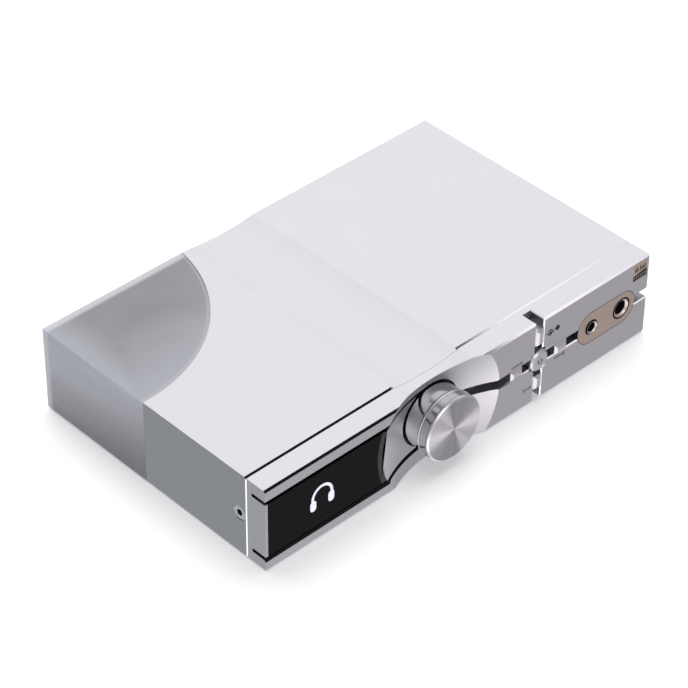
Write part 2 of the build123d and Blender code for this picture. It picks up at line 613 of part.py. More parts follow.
def make_buttons():
    """Power button, four arm buttons, and the switch that each one pushes."""
    power = rod_y(CROSS_X, CROSS_Z, POWER_RADIUS, -POWER_PROUD, POWER_REAR)
    power = chamfer(power.edges().sort_by(Axis.Y)[0], POWER_EDGE)
    power += rod_y(CROSS_X, CROSS_Z, POWER_STEM, POWER_REAR - 1, STEM_END)
    save("power_button", power)

    middles = {"power": (CROSS_X, CROSS_Z)}
    for name, cap in button_places().items():
        x0, x1, z0, z1 = cap
        button = block(x0, x1, CAP_FRONT, CAP_REAR, z0, z1)
        button = chamfer(button.faces().sort_by(Axis.Y)[0].edges(), CAP_EDGE)
        button += stem_box(cap, 0, CAP_REAR - 1, STEM_END)
        save(f"{name}_button", button)
        middles[name] = ((x0 + x1) / 2, (z0 + z1) / 2)

    switches = []
    for name, (x, z) in middles.items():
        half = SWITCH_SIZE / 2
        switch = block(x - half, x + half, SWITCH_FRONT, FRONT_BOARD_Y, z - half, z + half)
        room_end = SWITCH_FRONT + SWITCH_ROOM
        switches.append(switch - rod_y(x, z, PLUNGER_RADIUS + FIT, SWITCH_FRONT - 1, room_end))
        save(f"{name}_switch_plunger", rod_y(x, z, PLUNGER_RADIUS, STEM_END, SWITCH_FRONT + PLUNGER_PROUD))
    save("tact_switches", *switches)


def make_jack(name, x, bore, ring, barrel, recess, mouth, ring_depth, depth, body_half):
    """A panel socket: moulded body with a round barrel through the fascia, and its metal ring.

    The ring's mouth tapers from near its outer radius to the bore, between two depths."""
    half_width, half_height = body_half
    left, right = x - half_width, x + half_width
    body = block(left, right, FASCIA_DEPTH, depth + WALL, JACK_Z - half_height, JACK_Z + half_height)
    body += rod_y(x, JACK_Z, barrel, recess, FASCIA_DEPTH + 1)
    body -= rod_y(x, JACK_Z, ring, -1, ring_depth)
    body -= rod_y(x, JACK_Z, bore, 0, depth)
    save(f"{name}_body", body)
    metal = tube_y(x, JACK_Z, ring, bore, mouth[0], ring_depth)
    save(f"{name}_ring", metal - cone_y(x, JACK_Z, ring - JACK_LIP, bore, *mouth))
    pins = []
    width, thickness = JACK_PIN
    for pin_x in (left + 2 * width, right - 2 * width):
        for y in (FASCIA_DEPTH + half_width, depth - half_width / 2):
            pins.append(block(
                pin_x - width / 2, pin_x + width / 2, y - thickness / 2, y + thickness / 2,
                BOARD_TOP, JACK_Z - half_height,
            ))
    return pins


def make_front_sockets():
    """Jack plate, both headphone sockets and the small badge."""
    plate = stadium_y(*PLATE_ENDS, JACK_Z, PLATE_RADIUS, 0, PLATE_THICKNESS)
    plate -= rod_y(BIG_JACK_X, JACK_Z, BIG_JACK_BARREL + FIT, -1, PLATE_THICKNESS + 1)
    plate -= rod_y(SMALL_JACK_X, JACK_Z, SMALL_JACK_BARREL + FIT, -1, PLATE_THICKNESS + 1)
    save("jack_plate", plate)
    pins = make_jack(
        "jack_635", BIG_JACK_X, BIG_JACK_BORE, BIG_JACK_RING, BIG_JACK_BARREL,
        BIG_JACK_RECESS, BIG_JACK_MOUTH, BIG_JACK_RING_DEPTH, BIG_JACK_DEPTH, BIG_JACK_BODY,
    )
    pins += make_jack(
        "jack_44", SMALL_JACK_X, SMALL_JACK_BORE, SMALL_JACK_RING, SMALL_JACK_BARREL,
        SMALL_JACK_RECESS, SMALL_JACK_MOUTH, SMALL_JACK_RING_DEPTH, SMALL_JACK_DEPTH, SMALL_JACK_BODY,
    )
    save("jack_pins", *pins)
    x0, x1, z0, z1 = BADGE
    save("badge", block(x0, x1, -BADGE_THICKNESS, 0, z0, z1))


def on_board(x0, x1, y0, y1, height):
    """A box that stands on the main board."""
    return block(x0, x1, y0, y1, BOARD_TOP, BOARD_TOP + height)


def make_boards():
    """Main board, front board, and what is soldered to them."""
    main = block(*MAIN_BOARD, MAIN_BOARD_Z, BOARD_TOP)
    main -= corner_round(CORNER_RADIUS + 1, MAIN_BOARD_Z - 1, BOARD_TOP + 1)
    for x, y in STANDOFF_PLACES:
        main -= rod_z(x, y, STANDOFF_STUD_RADIUS + 2 * FIT, MAIN_BOARD_Z - 1, BOARD_TOP + 1)
    save("main_board", main)

    standoffs = []
    screws = []
    head_radius, head_height = BOARD_SCREW_HEAD
    for x, y in STANDOFF_PLACES:
        standoff = rod_z(x, y, STANDOFF_RADIUS, BASE_THICKNESS, MAIN_BOARD_Z)
        standoffs.append(standoff - rod_z(x, y, STANDOFF_STUD_RADIUS, BASE_THICKNESS - 1, MAIN_BOARD_Z + 1))
        shank = rod_z(x, y, STANDOFF_STUD_RADIUS, BOARD_SCREW_TIP, BOARD_TOP)
        head_top = BOARD_TOP + head_height
        screw = shank + rod_z(x, y, head_radius, BOARD_TOP, head_top)
        screws.append(screw - socket_z(x, y, head_top, LARGE_SOCKET))
    save("board_standoffs", *standoffs)
    save("board_screws", *screws)

    front_rear = FRONT_BOARD_Y + BOARD_THICKNESS
    front = block(*FRONT_BOARD, FRONT_BOARD_Y, front_rear, *FRONT_BOARD_HEIGHTS)
    screws = []
    head_radius, head_height = FRONT_SCREW_HEAD
    for x, z in FASCIA_POSTS:
        front -= rod_y(x, z, FRONT_SCREW_RADIUS + 2 * FIT, FRONT_BOARD_Y - 1, front_rear + 1)
        shank = rod_y(x, z, FRONT_SCREW_RADIUS, FRONT_BOARD_Y - FRONT_SCREW_LENGTH, front_rear)
        head_rear = front_rear + head_height
        screw = shank + rod_y(x, z, head_radius, front_rear, head_rear)
        screws.append(screw - socket_y(x, head_rear, z, SMALL_SOCKET))
    save("front_board", front)
    save("front_board_screws", *screws)
    header = block(*HEADER, front_rear, front_rear + HEADER_THICKNESS, *HEADER_FRONT_HEIGHTS)
    header += block(*HEADER, front_rear + 1, HEADER_REAR, BOARD_TOP, HEADER_TOP)
    save("board_header", header)

    capacitors = []
    first_x, first_y = CAPACITOR_START
    radius, height = CAPACITOR_SIZE
    for row in range(2):
        for column in range(4):
            x, y = first_x + CAPACITOR_PITCH * column, first_y + CAPACITOR_PITCH * row
            capacitors.append(rod_z(x, y, radius, BOARD_TOP, BOARD_TOP + height))
    save("electrolytic_capacitors", *capacitors)
    save("ic_packages", *[on_board(*chip) for chip in CHIPS])
    save("output_relays", *[on_board(*relay) for relay in RELAYS])
    radius, height = COIL_SIZE
    save("power_inductors", *[rod_z(x, COIL_Y, radius, BOARD_TOP, BOARD_TOP + height) for x in COIL_XS])
    save("wireless_module", on_board(*WIRELESS_MODULE))


def make_aerial():
    """The aerial board inside the acrylic corner and its thin lead to the wireless module."""
    save("aerial_board", block(CORNER_WALL, CORNER_WALL + AERIAL_THICKNESS, *AERIAL_BOARD))
    wall_x, wall_y, wall_z = lead_wall_point()
    plug_z = BOARD_TOP + LEAD_END_HEIGHT
    route = [
        (CORNER_WALL + AERIAL_THICKNESS, LEAD_START_Y, wall_z),
        (LEAD_TURN_X, LEAD_START_Y, wall_z),
        (wall_x - LEAD_BEFORE_WALL, wall_y + LEAD_BEFORE_WALL, wall_z),
        (wall_x + LEAD_PAST_WALL, wall_y - LEAD_PAST_WALL, wall_z - LEAD_SAG),
        (LEAD_LAST_TURN_X, LEAD_END_Y, plug_z),
        (WIRELESS_MODULE[0], LEAD_END_Y, plug_z),
    ]
    points = [Vector(*point) for point in route]
    radii = []
    for before, here, after in zip(points, points[1:], points[2:]):
        turn = math.radians((here - before).get_angle(after - here))
        shorter = min((here - before).length, (after - here).length)
        radii.append(LEAD_BEND * shorter / math.tan(turn / 2))
    path = FilletPolyline(*points, radius=radii)
    lead = sweep(Plane(origin=path @ 0, z_dir=path % 0) * Circle(LEAD_RADIUS), path=path)
    print("aerial lead bends", [round(radius, 1) for radius in radii])
    print("aerial lead volume ratio", round(lead.volume / (math.pi * LEAD_RADIUS**2 * path.length), 4))
    save("aerial_lead", lead)


def make_balanced_outputs():
    """Two three-pin balanced output sockets."""
    shells = []
    inserts = []
    pins = []
    face = REAR_FACE + XLR_PROUD
    insert_front = XLR_FLOOR_Y - XLR_INSERT
    for x in XLR_XS:
        shells.append(tube_y(x, XLR_Z, XLR_OUTER, XLR_INNER, insert_front, face))
        inserts.append(rod_y(x, XLR_Z, XLR_INNER, insert_front, XLR_FLOOR_Y))
        for angle in XLR_PIN_ANGLES:
            pin_x = x + XLR_PIN_CIRCLE * math.cos(math.radians(angle))
            pin_z = XLR_Z + XLR_PIN_CIRCLE * math.sin(math.radians(angle))
            inserts[-1] -= rod_y(pin_x, pin_z, XLR_PIN_RADIUS, insert_front - 1, XLR_FLOOR_Y + 1)
            pin = rod_y(pin_x, pin_z, XLR_PIN_RADIUS, XLR_FLOOR_Y - XLR_PIN_TAIL, face - XLR_PIN_SUNK)
            pins.append(chamfer(pin.edges().sort_by(Axis.Y)[-1], XLR_PIN_EDGE))
    save("xlr_shells", *shells)
    save("xlr_inserts", *inserts)
    save("xlr_pins", *pins)


def make_phono_sockets():
    """Three phono sockets: a metal barrel, an insulating collar and a centre contact each."""
    barrels = []
    collars = []
    contacts = []
    face = REAR_FACE + SOCKET_PROUD
    collar_face = REAR_FACE + PHONO_COLLAR_PROUD
    tail = REAR_INNER - PHONO_TAIL
    flange_rear = tail + PHONO_FLANGE_THICKNESS
    for x, z in PHONO_PLACES:
        barrel = tube_y(x, z, PHONO_RADIUS, PHONO_BORE, collar_face, face)
        barrel += tube_y(x, z, PHONO_NECK, PHONO_BORE, REAR_INNER - PHONO_BARREL_TAIL, collar_face)
        barrels.append(barrel)
        collar = tube_y(x, z, PHONO_COLLAR, PHONO_NECK, flange_rear - 1, collar_face)
        collar += rod_y(x, z, PHONO_FLANGE, tail, flange_rear)
        collar -= rod_y(x, z, PHONO_CONTACT, tail - 1, flange_rear + 1)
        collars.append(collar)
        contact = rod_y(x, z, PHONO_CONTACT, tail, face - PHONO_CONTACT_SUNK)
        contacts.append(contact - rod_y(x, z, PHONO_CONTACT_BORE, REAR_INNER - PHONO_CONTACT_FLOOR, face))
    save("phono_barrels", *barrels)
    save("phono_collars", *collars)
    save("phono_contacts", *contacts)


def make_optical_input():
    """The optical socket and the sprung shutter that closes its mouth."""
    width, height = OPTICAL_SIZE
    hole_width, hole_height = OPTICAL_HOLE
    middle_z = BOARD_TOP + height / 2
    face = REAR_FACE + OPTICAL_PROUD
    floor = REAR_FACE - OPTICAL_FLOOR
    top = middle_z + hole_height / 2
    half = hole_width / 2
    left, right = OPTICAL_X - width / 2, OPTICAL_X + width / 2
    socket = block(left, right, floor - OPTICAL_BACK, face, BOARD_TOP, BOARD_TOP + height)
    socket -= block(OPTICAL_X - half, OPTICAL_X + half, floor, face + 1, top - hole_height, top)
    pivot_y = face - SHUTTER_PIVOT_SUNK
    pivot_z = top - SHUTTER_PIVOT_DROP
    pivot_hole = (OPTICAL_X - half - 1, OPTICAL_X + half + 1)
    socket -= rod_x(pivot_y, pivot_z, SHUTTER_PIVOT_RADIUS + FIT, *pivot_hole)
    save("optical_socket", socket)

    flap_half = half - SHUTTER_SIDE_GAP
    flap_bottom = top - hole_height + SHUTTER_FOOT_GAP
    flap = (OPTICAL_X - flap_half, OPTICAL_X + flap_half)
    flap_depth = (pivot_y - SHUTTER_THICKNESS / 2, pivot_y + SHUTTER_THICKNESS / 2)
    pivot = (OPTICAL_X - half - SHUTTER_PIVOT_END, OPTICAL_X + half + SHUTTER_PIVOT_END)
    shutter = block(*flap, *flap_depth, flap_bottom, pivot_z)
    shutter += rod_x(pivot_y, pivot_z, SHUTTER_ROLL_RADIUS, *flap)
    shutter += rod_x(pivot_y, pivot_z, SHUTTER_PIVOT_RADIUS, *pivot)
    save("optical_shutter", shutter)


def make_usb_and_power():
    """The USB socket and the round power socket."""
    width, height = USB_SIZE
    hole_width, hole_height = USB_HOLE
    middle_z = BOARD_TOP + height / 2
    face = REAR_FACE + USB_AND_DC_PROUD
    floor = REAR_FACE - USB_FLOOR
    left, right = USB_X - width / 2, USB_X + width / 2
    shell = block(left, right, floor - USB_BACK, face, BOARD_TOP, BOARD_TOP + height)
    shell -= block(
        USB_X - hole_width / 2, USB_X + hole_width / 2, floor, face + 1,
        middle_z - hole_height / 2, middle_z + hole_height / 2,
    )
    save("usb_socket_shell", shell)
    half_width, half_height = USB_TONGUE[0] / 2, USB_TONGUE[1] / 2
    save("usb_socket_tongue", block(
        USB_X - half_width, USB_X + half_width, floor, face - USB_TONGUE_SUNK,
        middle_z - half_height, middle_z + half_height,
    ))

    width, height = DC_SIZE
    middle_z = BOARD_TOP + height / 2
    floor = REAR_FACE - DC_FLOOR
    left, right = DC_X - width / 2, DC_X + width / 2
    body = block(left, right, floor - DC_BACK, face, BOARD_TOP, BOARD_TOP + height)
    body -= rod_y(DC_X, middle_z, DC_BORE, floor, face + 1)
    save("dc_socket_body", body)
    save("dc_socket_pin", rod_y(DC_X, middle_z, DC_PIN_RADIUS, floor, face - DC_PIN_SUNK))


def make_screws():
    """Side, base and rear screws."""
    sides = []
    left_tab, right_tab = side_tabs()
    screws = ((left_tab[1], SIDE_SCREW_SUNK, 1), (right_tab[0], CASE_WIDTH - SIDE_SCREW_SUNK, -1))
    for inner, outer, sign in screws:
        head_end = outer + sign * (WALL - SIDE_SCREW_SUNK)
        head = rod_x(SIDE_SCREW_Y, SIDE_SCREW_Z, SIDE_SCREW_HEAD, *sorted((outer, head_end)))
        shank = rod_x(SIDE_SCREW_Y, SIDE_SCREW_Z, SIDE_SCREW_RADIUS, *sorted((outer + sign, inner)))
        hexagon = Plane.YZ * RegularPolygon(SIDE_SOCKET[0], 6)
        recess = extrude(hexagon, sign * (SIDE_SOCKET[1] + OVERLAP))
        recess = Pos(outer - sign * OVERLAP, SIDE_SCREW_Y, SIDE_SCREW_Z) * recess
        sides.append(head + shank - recess)
    save("side_screws", *sides)

    base = []
    for x, y in BASE_SCREW_PLACES:
        screw = base_screw_head(x, y) + rod_z(x, y, BASE_SCREW_RADIUS, OVERLAP, BASE_SCREW_TOP)
        base.append(screw - Rot(180, 0, 0) * socket_z(x, -y, 0, LARGE_SOCKET))
    save("base_screws", *base)

    rear = []
    for x, z in REAR_SCREW_PLACES:
        shank = rod_y(x, z, REAR_SCREW_RADIUS, REAR_INNER - REAR_SCREW_LENGTH, REAR_FACE - OVERLAP)
        rear.append(rear_screw_head(x, z) + shank - socket_y(x, REAR_FACE, z, SMALL_SOCKET))
    save("rear_screws", *rear)


make_case()
make_fascia()
make_display()
make_knob()
make_buttons()
make_front_sockets()
make_boards()
make_aerial()
make_balanced_outputs()
make_phono_sockets()
make_optical_input()
make_usb_and_power()
make_screws()

os.makedirs("parts", exist_ok=True)
for name, solids in pieces.items():
    shape = solids[0] if len(solids) == 1 else Compound(children=solids)
    export_step(shape, f"parts/{name}.step")
print(len(pieces), "nodes")
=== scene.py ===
import bpy
import bmesh
import json
import math
from mathutils import Matrix, Vector


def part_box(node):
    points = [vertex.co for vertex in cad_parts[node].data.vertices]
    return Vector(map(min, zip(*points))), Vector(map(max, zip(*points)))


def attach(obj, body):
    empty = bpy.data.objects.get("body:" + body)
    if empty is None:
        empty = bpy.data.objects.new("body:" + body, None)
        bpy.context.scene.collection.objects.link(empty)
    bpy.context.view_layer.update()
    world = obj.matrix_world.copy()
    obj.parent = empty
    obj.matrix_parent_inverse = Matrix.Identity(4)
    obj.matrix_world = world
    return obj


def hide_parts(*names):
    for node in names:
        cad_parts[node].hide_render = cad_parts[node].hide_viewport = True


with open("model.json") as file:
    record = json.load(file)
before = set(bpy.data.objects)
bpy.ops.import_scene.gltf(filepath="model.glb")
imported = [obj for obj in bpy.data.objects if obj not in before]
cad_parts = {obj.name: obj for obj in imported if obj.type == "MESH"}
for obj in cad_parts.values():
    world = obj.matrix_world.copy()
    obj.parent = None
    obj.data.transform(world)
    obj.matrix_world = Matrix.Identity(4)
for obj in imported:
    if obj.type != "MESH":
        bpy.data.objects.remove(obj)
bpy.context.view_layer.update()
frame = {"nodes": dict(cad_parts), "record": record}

# Places are given in case millimetres: x from the left side, y back from the front face, z up from
# the underside. at() turns them into the frame's metres.
MM = 0.001
sleeve_low, sleeve_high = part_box("case_sleeve")
fascia_low, fascia_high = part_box("front_fascia")
CASE_ORIGIN = Vector((sleeve_low.x, fascia_low.y, sleeve_low.z))
CASE_HEIGHT = (sleeve_high.z - sleeve_low.z) / MM
CASE_DEPTH = (sleeve_high.y - fascia_low.y) / MM
CASE_WIDTH = (sleeve_high.x - sleeve_low.x) / MM

knob_low, knob_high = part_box("volume_knob")
KNOB = ((knob_low + knob_high) / 2 - CASE_ORIGIN) / MM
KNOB_FACE = (knob_low.y - CASE_ORIGIN.y) / MM
KNOB_RADIUS = (knob_high.x - knob_low.x) / 2 / MM
power_low, power_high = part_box("power_button")
POWER = ((power_low + power_high) / 2 - CASE_ORIGIN) / MM
PLATE_END = (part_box("jack_plate")[1].x - CASE_ORIGIN.x) / MM

# The dish round the knob is part of a sphere, and the acrylic corner part of an upright cylinder
DISH_SPHERE_RADIUS = 67.0
DISH_CENTRE_Y = -58.65
DISH_RIM_RADIUS = 32.4
VALLEY_X = 94.8
VALLEY_HALF_WIDTH = 17.8
VALLEY_DEPTH = 1.45
VALLEY_CENTRE_Z = CASE_HEIGHT - VALLEY_DEPTH + (VALLEY_HALF_WIDTH**2 + VALLEY_DEPTH**2) / (2 * VALLEY_DEPTH)
CORNER_X = 2.0
CORNER_Y = 142.2
CORNER_RADIUS = 72.2
CORNER_WALL = 3.0
DISH_REACH = 0.25
FLOOR_Z = -0.00005
FLOOR_HALF_WIDTH = 4.0
RINGS_PER_METRE = 9000.0
STUDIO_LIGHT = 0.30

# Within these distances from the knob's and the power button's middle, recessed faces are painted near black
# as shade, and the power button's chamfer is polished
KNOB_SHADE_RADIUS = 25
POWER_SHADE_RADIUS = 9.5
POWER_CHAMFER_RADIUS = 6.5
EDGE_ROUNDING = 0.08
LEAST_ROUNDED_ANGLE = 60
SCREW_SOCKET = 1.35
JACK_MOUTH_DEPTH = 0.85

# The camera: what it aims at in case millimetres, its angles in degrees, and its place from there in metres
AIM = (107.0, 66.0, 20.0)
CAMERA_AZIMUTH = -43.737
CAMERA_ELEVATION = 39.219
CAMERA_ROLL = 0.522
CAMERA_BACK = 1.151033
CAMERA_LEFT = 0.002821
CAMERA_DOWN = 0.005895
CAMERA_LENS = 147.09


def at(x, y, z):
    """A point in case millimetres, as a point of the frame in metres."""
    return CASE_ORIGIN + Vector((x, y, z)) * MM


def case_box(node):
    """A node's lowest and highest corner in case millimetres."""
    low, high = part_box(node)
    return (low - CASE_ORIGIN) / MM, (high - CASE_ORIGIN) / MM


# ---------------------------------------------------------------- materials


class Graph:
    """A node tree under construction."""

    def __init__(self, owner):
        owner.use_nodes = True
        self.tree = owner.node_tree
        self.tree.nodes.clear()

    def plug(self, value, target):
        """Sets an input to a value, or links it to another node's output."""
        if isinstance(value, bpy.types.NodeSocket):
            self.tree.links.new(value, target)
        else:
            target.default_value = value

    def node(self, kind, inputs=(), output=0, **settings):
        """Adds a node with its settings and inputs, and returns one of its outputs."""
        node = self.tree.nodes.new(kind)
        for name, value in settings.items():
            setattr(node, name, value)
        for key, value in dict(inputs).items():
            self.plug(value, node.inputs[key])
        return None if output is None else node.outputs[output]

    def maths(self, operation, *values):
        return self.node("ShaderNodeMath", enumerate(values), operation=operation)

    def vector(self, operation, first, second, output=0):
        return self.node("ShaderNodeVectorMath", {0: first, 1: second}, output, operation=operation)

    def part(self, vector, axis):
        """One of a vector's three parts."""
        return self.node("ShaderNodeSeparateXYZ", {0: vector}, "XYZ".index(axis))

    def between(self, value, low, high, out_low=0.0, out_high=1.0):
        """Maps a value's range from low to high on to another range, smoothly."""
        keys = ("Value", "From Min", "From Max", "To Min", "To Max")
        inputs = dict(zip(keys, (value, low, high, out_low, out_high)))
        return self.node("ShaderNodeMapRange", inputs, interpolation_type="SMOOTHSTEP")

    def mix(self, share, first, second):
        """Mixes two colours."""
        inputs = {0: share}
        for key, colour in ((6, first), (7, second)):
            inputs[key] = colour if isinstance(colour, bpy.types.NodeSocket) else (*colour, 1.0)
        return self.node("ShaderNodeMix", inputs, output=2, data_type="RGBA")


class Finish(Graph):
    """A material under construction: its Principled shader and the nodes that vary it."""

    def __init__(self, name, colour, metallic=0.0, roughness=0.5):
        self.material = bpy.data.materials.new(name)
        super().__init__(self.material)
        self.shader = self.tree.nodes.new("ShaderNodeBsdfPrincipled")
        output = self.tree.nodes.new("ShaderNodeOutputMaterial")
        self.plug(self.shader.outputs[0], output.inputs["Surface"])
        self.set("Base Color", (*colour, 1.0))
        self.set("Metallic", metallic)
        self.set("Roughness", roughness)
        self.place = self.node("ShaderNodeTexCoord", output="Object")

    def set(self, name, value):
        """Sets or links an input of the shader."""
        self.plug(value, self.shader.inputs[name])

    def stretched(self, scale):
        """Object coordinates scaled along each axis."""
        return self.node("ShaderNodeMapping", {"Vector": self.place, "Scale": scale})

    def noise(self, size_mm, detail=3.0, stretch=(1, 1, 1)):
        """Noise whose grains are about size_mm across, longer along an axis with a small stretch value."""
        scale = tuple(value / (size_mm * MM) for value in stretch)
        inputs = {"Vector": self.stretched(scale), "Scale": 1.0, "Detail": detail}
        return self.node("ShaderNodeTexNoise", inputs)

    def bump(self, height, strength, depth_mm):
        """Relief up to depth_mm high."""
        inputs = {"Height": height, "Strength": strength, "Distance": depth_mm * MM}
        self.set("Normal", self.node("ShaderNodeBump", inputs))

    def edge(self, width_mm):
        """1 near a sharp edge and 0 away from it."""
        rounded = self.node("ShaderNodeBevel", {"Radius": width_mm * MM}, samples=4)
        true_normal = self.node("ShaderNodeNewGeometry", output=1)
        return self.between(self.vector("DOT_PRODUCT", rounded, true_normal, 1), 0.98, 0.75)


def metal(name, colour, roughness, grain_mm=0.25, grain_depth=0.004, worn=0.0, anisotropy=0.0):
    """Metal with a fine blasted grain, slight patches of roughness and paler edges."""
    finish = Finish(name, colour, 1.0, roughness)
    patches = finish.noise(18.0, 2.0)
    finish.set("Roughness", finish.between(patches, 0.3, 0.7, roughness * 0.98, roughness * 1.02))
    if worn:
        pale = tuple(min(1.0, channel * (1 + worn)) for channel in colour)
        finish.set("Base Color", finish.mix(finish.edge(0.35), colour, pale))
    finish.set("Anisotropic", anisotropy)
    finish.bump(finish.noise(grain_mm, 2.0), 0.35, grain_depth)
    return finish.material


def plastic(name, colour, roughness, grain_mm=0.4, grain_depth=0.01, shine=0.5):
    """Moulded plastic or rubber with a fine spark-eroded texture."""
    finish = Finish(name, colour, 0.0, roughness)
    speck = finish.noise(grain_mm, 3.0)
    pale = tuple(min(1.0, channel * 1.35 + 0.004) for channel in colour)
    finish.set("Base Color", finish.mix(finish.between(speck, 0.4, 0.75), colour, pale))
    wear = finish.noise(9.0, 2.0)
    finish.set("Roughness", finish.between(wear, 0.3, 0.7, roughness * 0.9, roughness * 1.1))
    finish.set("Specular IOR Level", shine)
    finish.bump(speck, 0.4, grain_depth)
    return finish.material


def spun_metal(name, colour):
    """Aluminium turned on a lathe about the knob's axis: its fine rings spread the light into fans."""
    finish = Finish(name, colour, 1.0, 0.42)
    finish.set("Anisotropic", 1.0)
    finish.set("Anisotropic Rotation", 0.25)
    finish.set("Tangent", finish.node("ShaderNodeTangent", direction_type="RADIAL", axis="Y"))
    from_axis = finish.vector("SUBTRACT", finish.place, tuple(at(*KNOB)))
    across = finish.vector("MULTIPLY", from_axis, (1, 0, 1))
    radius = finish.node("ShaderNodeVectorMath", {0: across}, 1, operation="LENGTH")
    inputs = {"W": finish.maths("MULTIPLY", radius, RINGS_PER_METRE), "Scale": 1.0, "Detail": 3.0}
    rings = finish.node("ShaderNodeTexNoise", inputs, noise_dimensions="1D")
    finish.set("Roughness", finish.between(rings, 0.3, 0.7, 0.38, 0.46))
    finish.bump(rings, 0.25, 0.004)
    return finish.material


def frosted_acrylic(name):
    """Smoked frosted acrylic over a hollow: paler where a wall stands behind the surface, with painted shade
    on its sides, which get darker further below the top and further from the rear, and a painted shadow line
    in the joint at the rear of its curved edge.
    """
    finish = Finish(name, (0.22, 0.22, 0.23), 0.0, 0.32)
    x = finish.maths("SUBTRACT", finish.part(finish.place, "X"), at(0, 0, 0).x)
    y = finish.maths("SUBTRACT", finish.part(finish.place, "Y"), at(0, 0, 0).y)
    rear = finish.maths("SUBTRACT", CASE_DEPTH * MM, y)
    below_top = finish.maths("SUBTRACT", at(0, 0, CASE_HEIGHT).z, finish.part(finish.place, "Z"))
    from_centre = finish.vector("SUBTRACT", finish.place, tuple(at(CORNER_X, CORNER_Y, 0)))
    level = finish.vector("MULTIPLY", from_centre, (1, 1, 0))
    reach = finish.node("ShaderNodeVectorMath", {0: level}, 1, operation="LENGTH")
    to_arc = finish.maths("SUBTRACT", CORNER_RADIUS * MM, reach)
    top = finish.between(finish.part(finish.node("ShaderNodeNewGeometry", output=1), "Z"), 0.2, 0.9)

    def near(distance, width_mm, softness_mm):
        """1 within a distance and 0 beyond it."""
        start, end = (width_mm - softness_mm) * MM, (width_mm + softness_mm) * MM
        return finish.between(distance, start, end, 1.0, 0.0)

    patches = finish.between(finish.noise(26.0, 2.0), 0.3, 0.7)
    top_colour = finish.mix(patches, (0.240, 0.235, 0.246), (0.270, 0.267, 0.279))
    cloudy = finish.maths("MAXIMUM", near(x, 10.0, 10.0), near(y, 92.0, 22.0))
    top_colour = finish.mix(finish.maths("MULTIPLY", cloudy, 0.75), top_colour, (0.405, 0.42, 0.46))
    streaks = finish.between(finish.noise(7.0, 3.0, (1, 0.07, 1)), 0.35, 0.65)
    # painted shade: the sides are paler near the top edge and the rear face, and darker further down and
    # forward
    shade_depth = finish.maths("ADD", below_top, finish.maths("MULTIPLY", rear, 0.3))
    side_colour = finish.mix(finish.between(shade_depth, 0.010, 0.056), (0.49, 0.505, 0.545), (0.23, 0.235, 0.252))
    side_colour = finish.mix(finish.maths("MULTIPLY", streaks, 0.18), side_colour, (0.20, 0.19, 0.205))
    colour = finish.mix(top, side_colour, top_colour)
    arc_rim = finish.maths("MULTIPLY", finish.maths("MULTIPLY", near(to_arc, 1.6, 0.5), top), 0.22)
    rim = finish.maths("MAXIMUM", finish.maths("MULTIPLY", near(rear, CORNER_WALL, 1.2), 0.75), arc_rim)
    colour = finish.mix(rim, colour, (0.62, 0.61, 0.65))
    # painted shadow: a dark line along the rear end of the curved edge, standing in for the shade in the gap
    # to the sleeve
    gap_shadow = finish.maths("MULTIPLY", near(to_arc, 0.35, 0.15), finish.between(y, 0.098, 0.112, 0.0, 0.8))
    finish.set("Base Color", finish.mix(gap_shadow, colour, (0.05, 0.05, 0.055)))
    finish.set("Subsurface Weight", 0.2)
    finish.set("Subsurface Radius", (0.004, 0.004, 0.005))
    finish.set("Subsurface Scale", 1.0)
    finish.set("IOR", 1.49)
    finish.bump(finish.noise(0.2, 2.0), 0.2, 0.004)
    return finish.material


def window_gloss(name):
    """Gloss black acrylic window with a faint waviness."""
    finish = Finish(name, (0.003, 0.003, 0.0033), 0.0, 0.09)
    finish.set("Roughness", finish.between(finish.noise(12.0, 3.0), 0.3, 0.7, 0.07, 0.12))
    finish.set("Specular IOR Level", 0.12)
    finish.bump(finish.noise(14.0, 1.0), 0.1, 0.004)
    return finish.material


def circuit_board(name):
    """Green solder resist over copper tracks, with pads."""
    finish = Finish(name, (0.01, 0.06, 0.03), 0.0, 0.35)
    grid = finish.node("ShaderNodeTexBrick", {
        "Vector": finish.stretched((1 / MM, 1 / MM, 1 / MM)), "Scale": 0.32, "Mortar Size": 0.03,
        "Color1": (0.012, 0.085, 0.04, 1), "Color2": (0.02, 0.12, 0.055, 1), "Mortar": (0.05, 0.2, 0.09, 1),
    })
    dots = finish.node("ShaderNodeTexVoronoi", {"Vector": finish.place, "Scale": 420.0})
    pads = finish.between(dots, 0.14, 0.10)
    finish.set("Base Color", finish.mix(pads, grid, (0.75, 0.62, 0.35)))
    finish.set("Metallic", pads)
    finish.bump(pads, 0.4, 0.03)
    return finish.material


def capacitor_sleeve(name):
    """Printed shrink sleeve, with the bare vented can on top."""
    finish = Finish(name, (0.02, 0.03, 0.1), 0.0, 0.3)
    stripe = finish.between(finish.noise(3.0, 1.0, (1, 1, 0.1)), 0.55, 0.6)
    top = finish.between(finish.part(finish.node("ShaderNodeNewGeometry", output=1), "Z"), 0.6, 0.8)
    sleeve = finish.mix(stripe, (0.02, 0.03, 0.1), (0.5, 0.5, 0.48))
    finish.set("Base Color", finish.mix(top, sleeve, (0.75, 0.75, 0.76)))
    finish.set("Metallic", top)
    finish.bump(finish.noise(0.5, 2.0), 0.2, 0.01)
    return finish.material


def foil(name):
    """Gold foil with fine crinkles."""
    finish = Finish(name, (0.72, 0.57, 0.45), 0.85, 0.35)
    finish.set("Base Color", finish.mix(finish.noise(2.0, 3.0), (0.64, 0.49, 0.37), (0.80, 0.66, 0.54)))
    finish.bump(finish.noise(0.8, 3.0), 0.25, 0.01)
    return finish.material


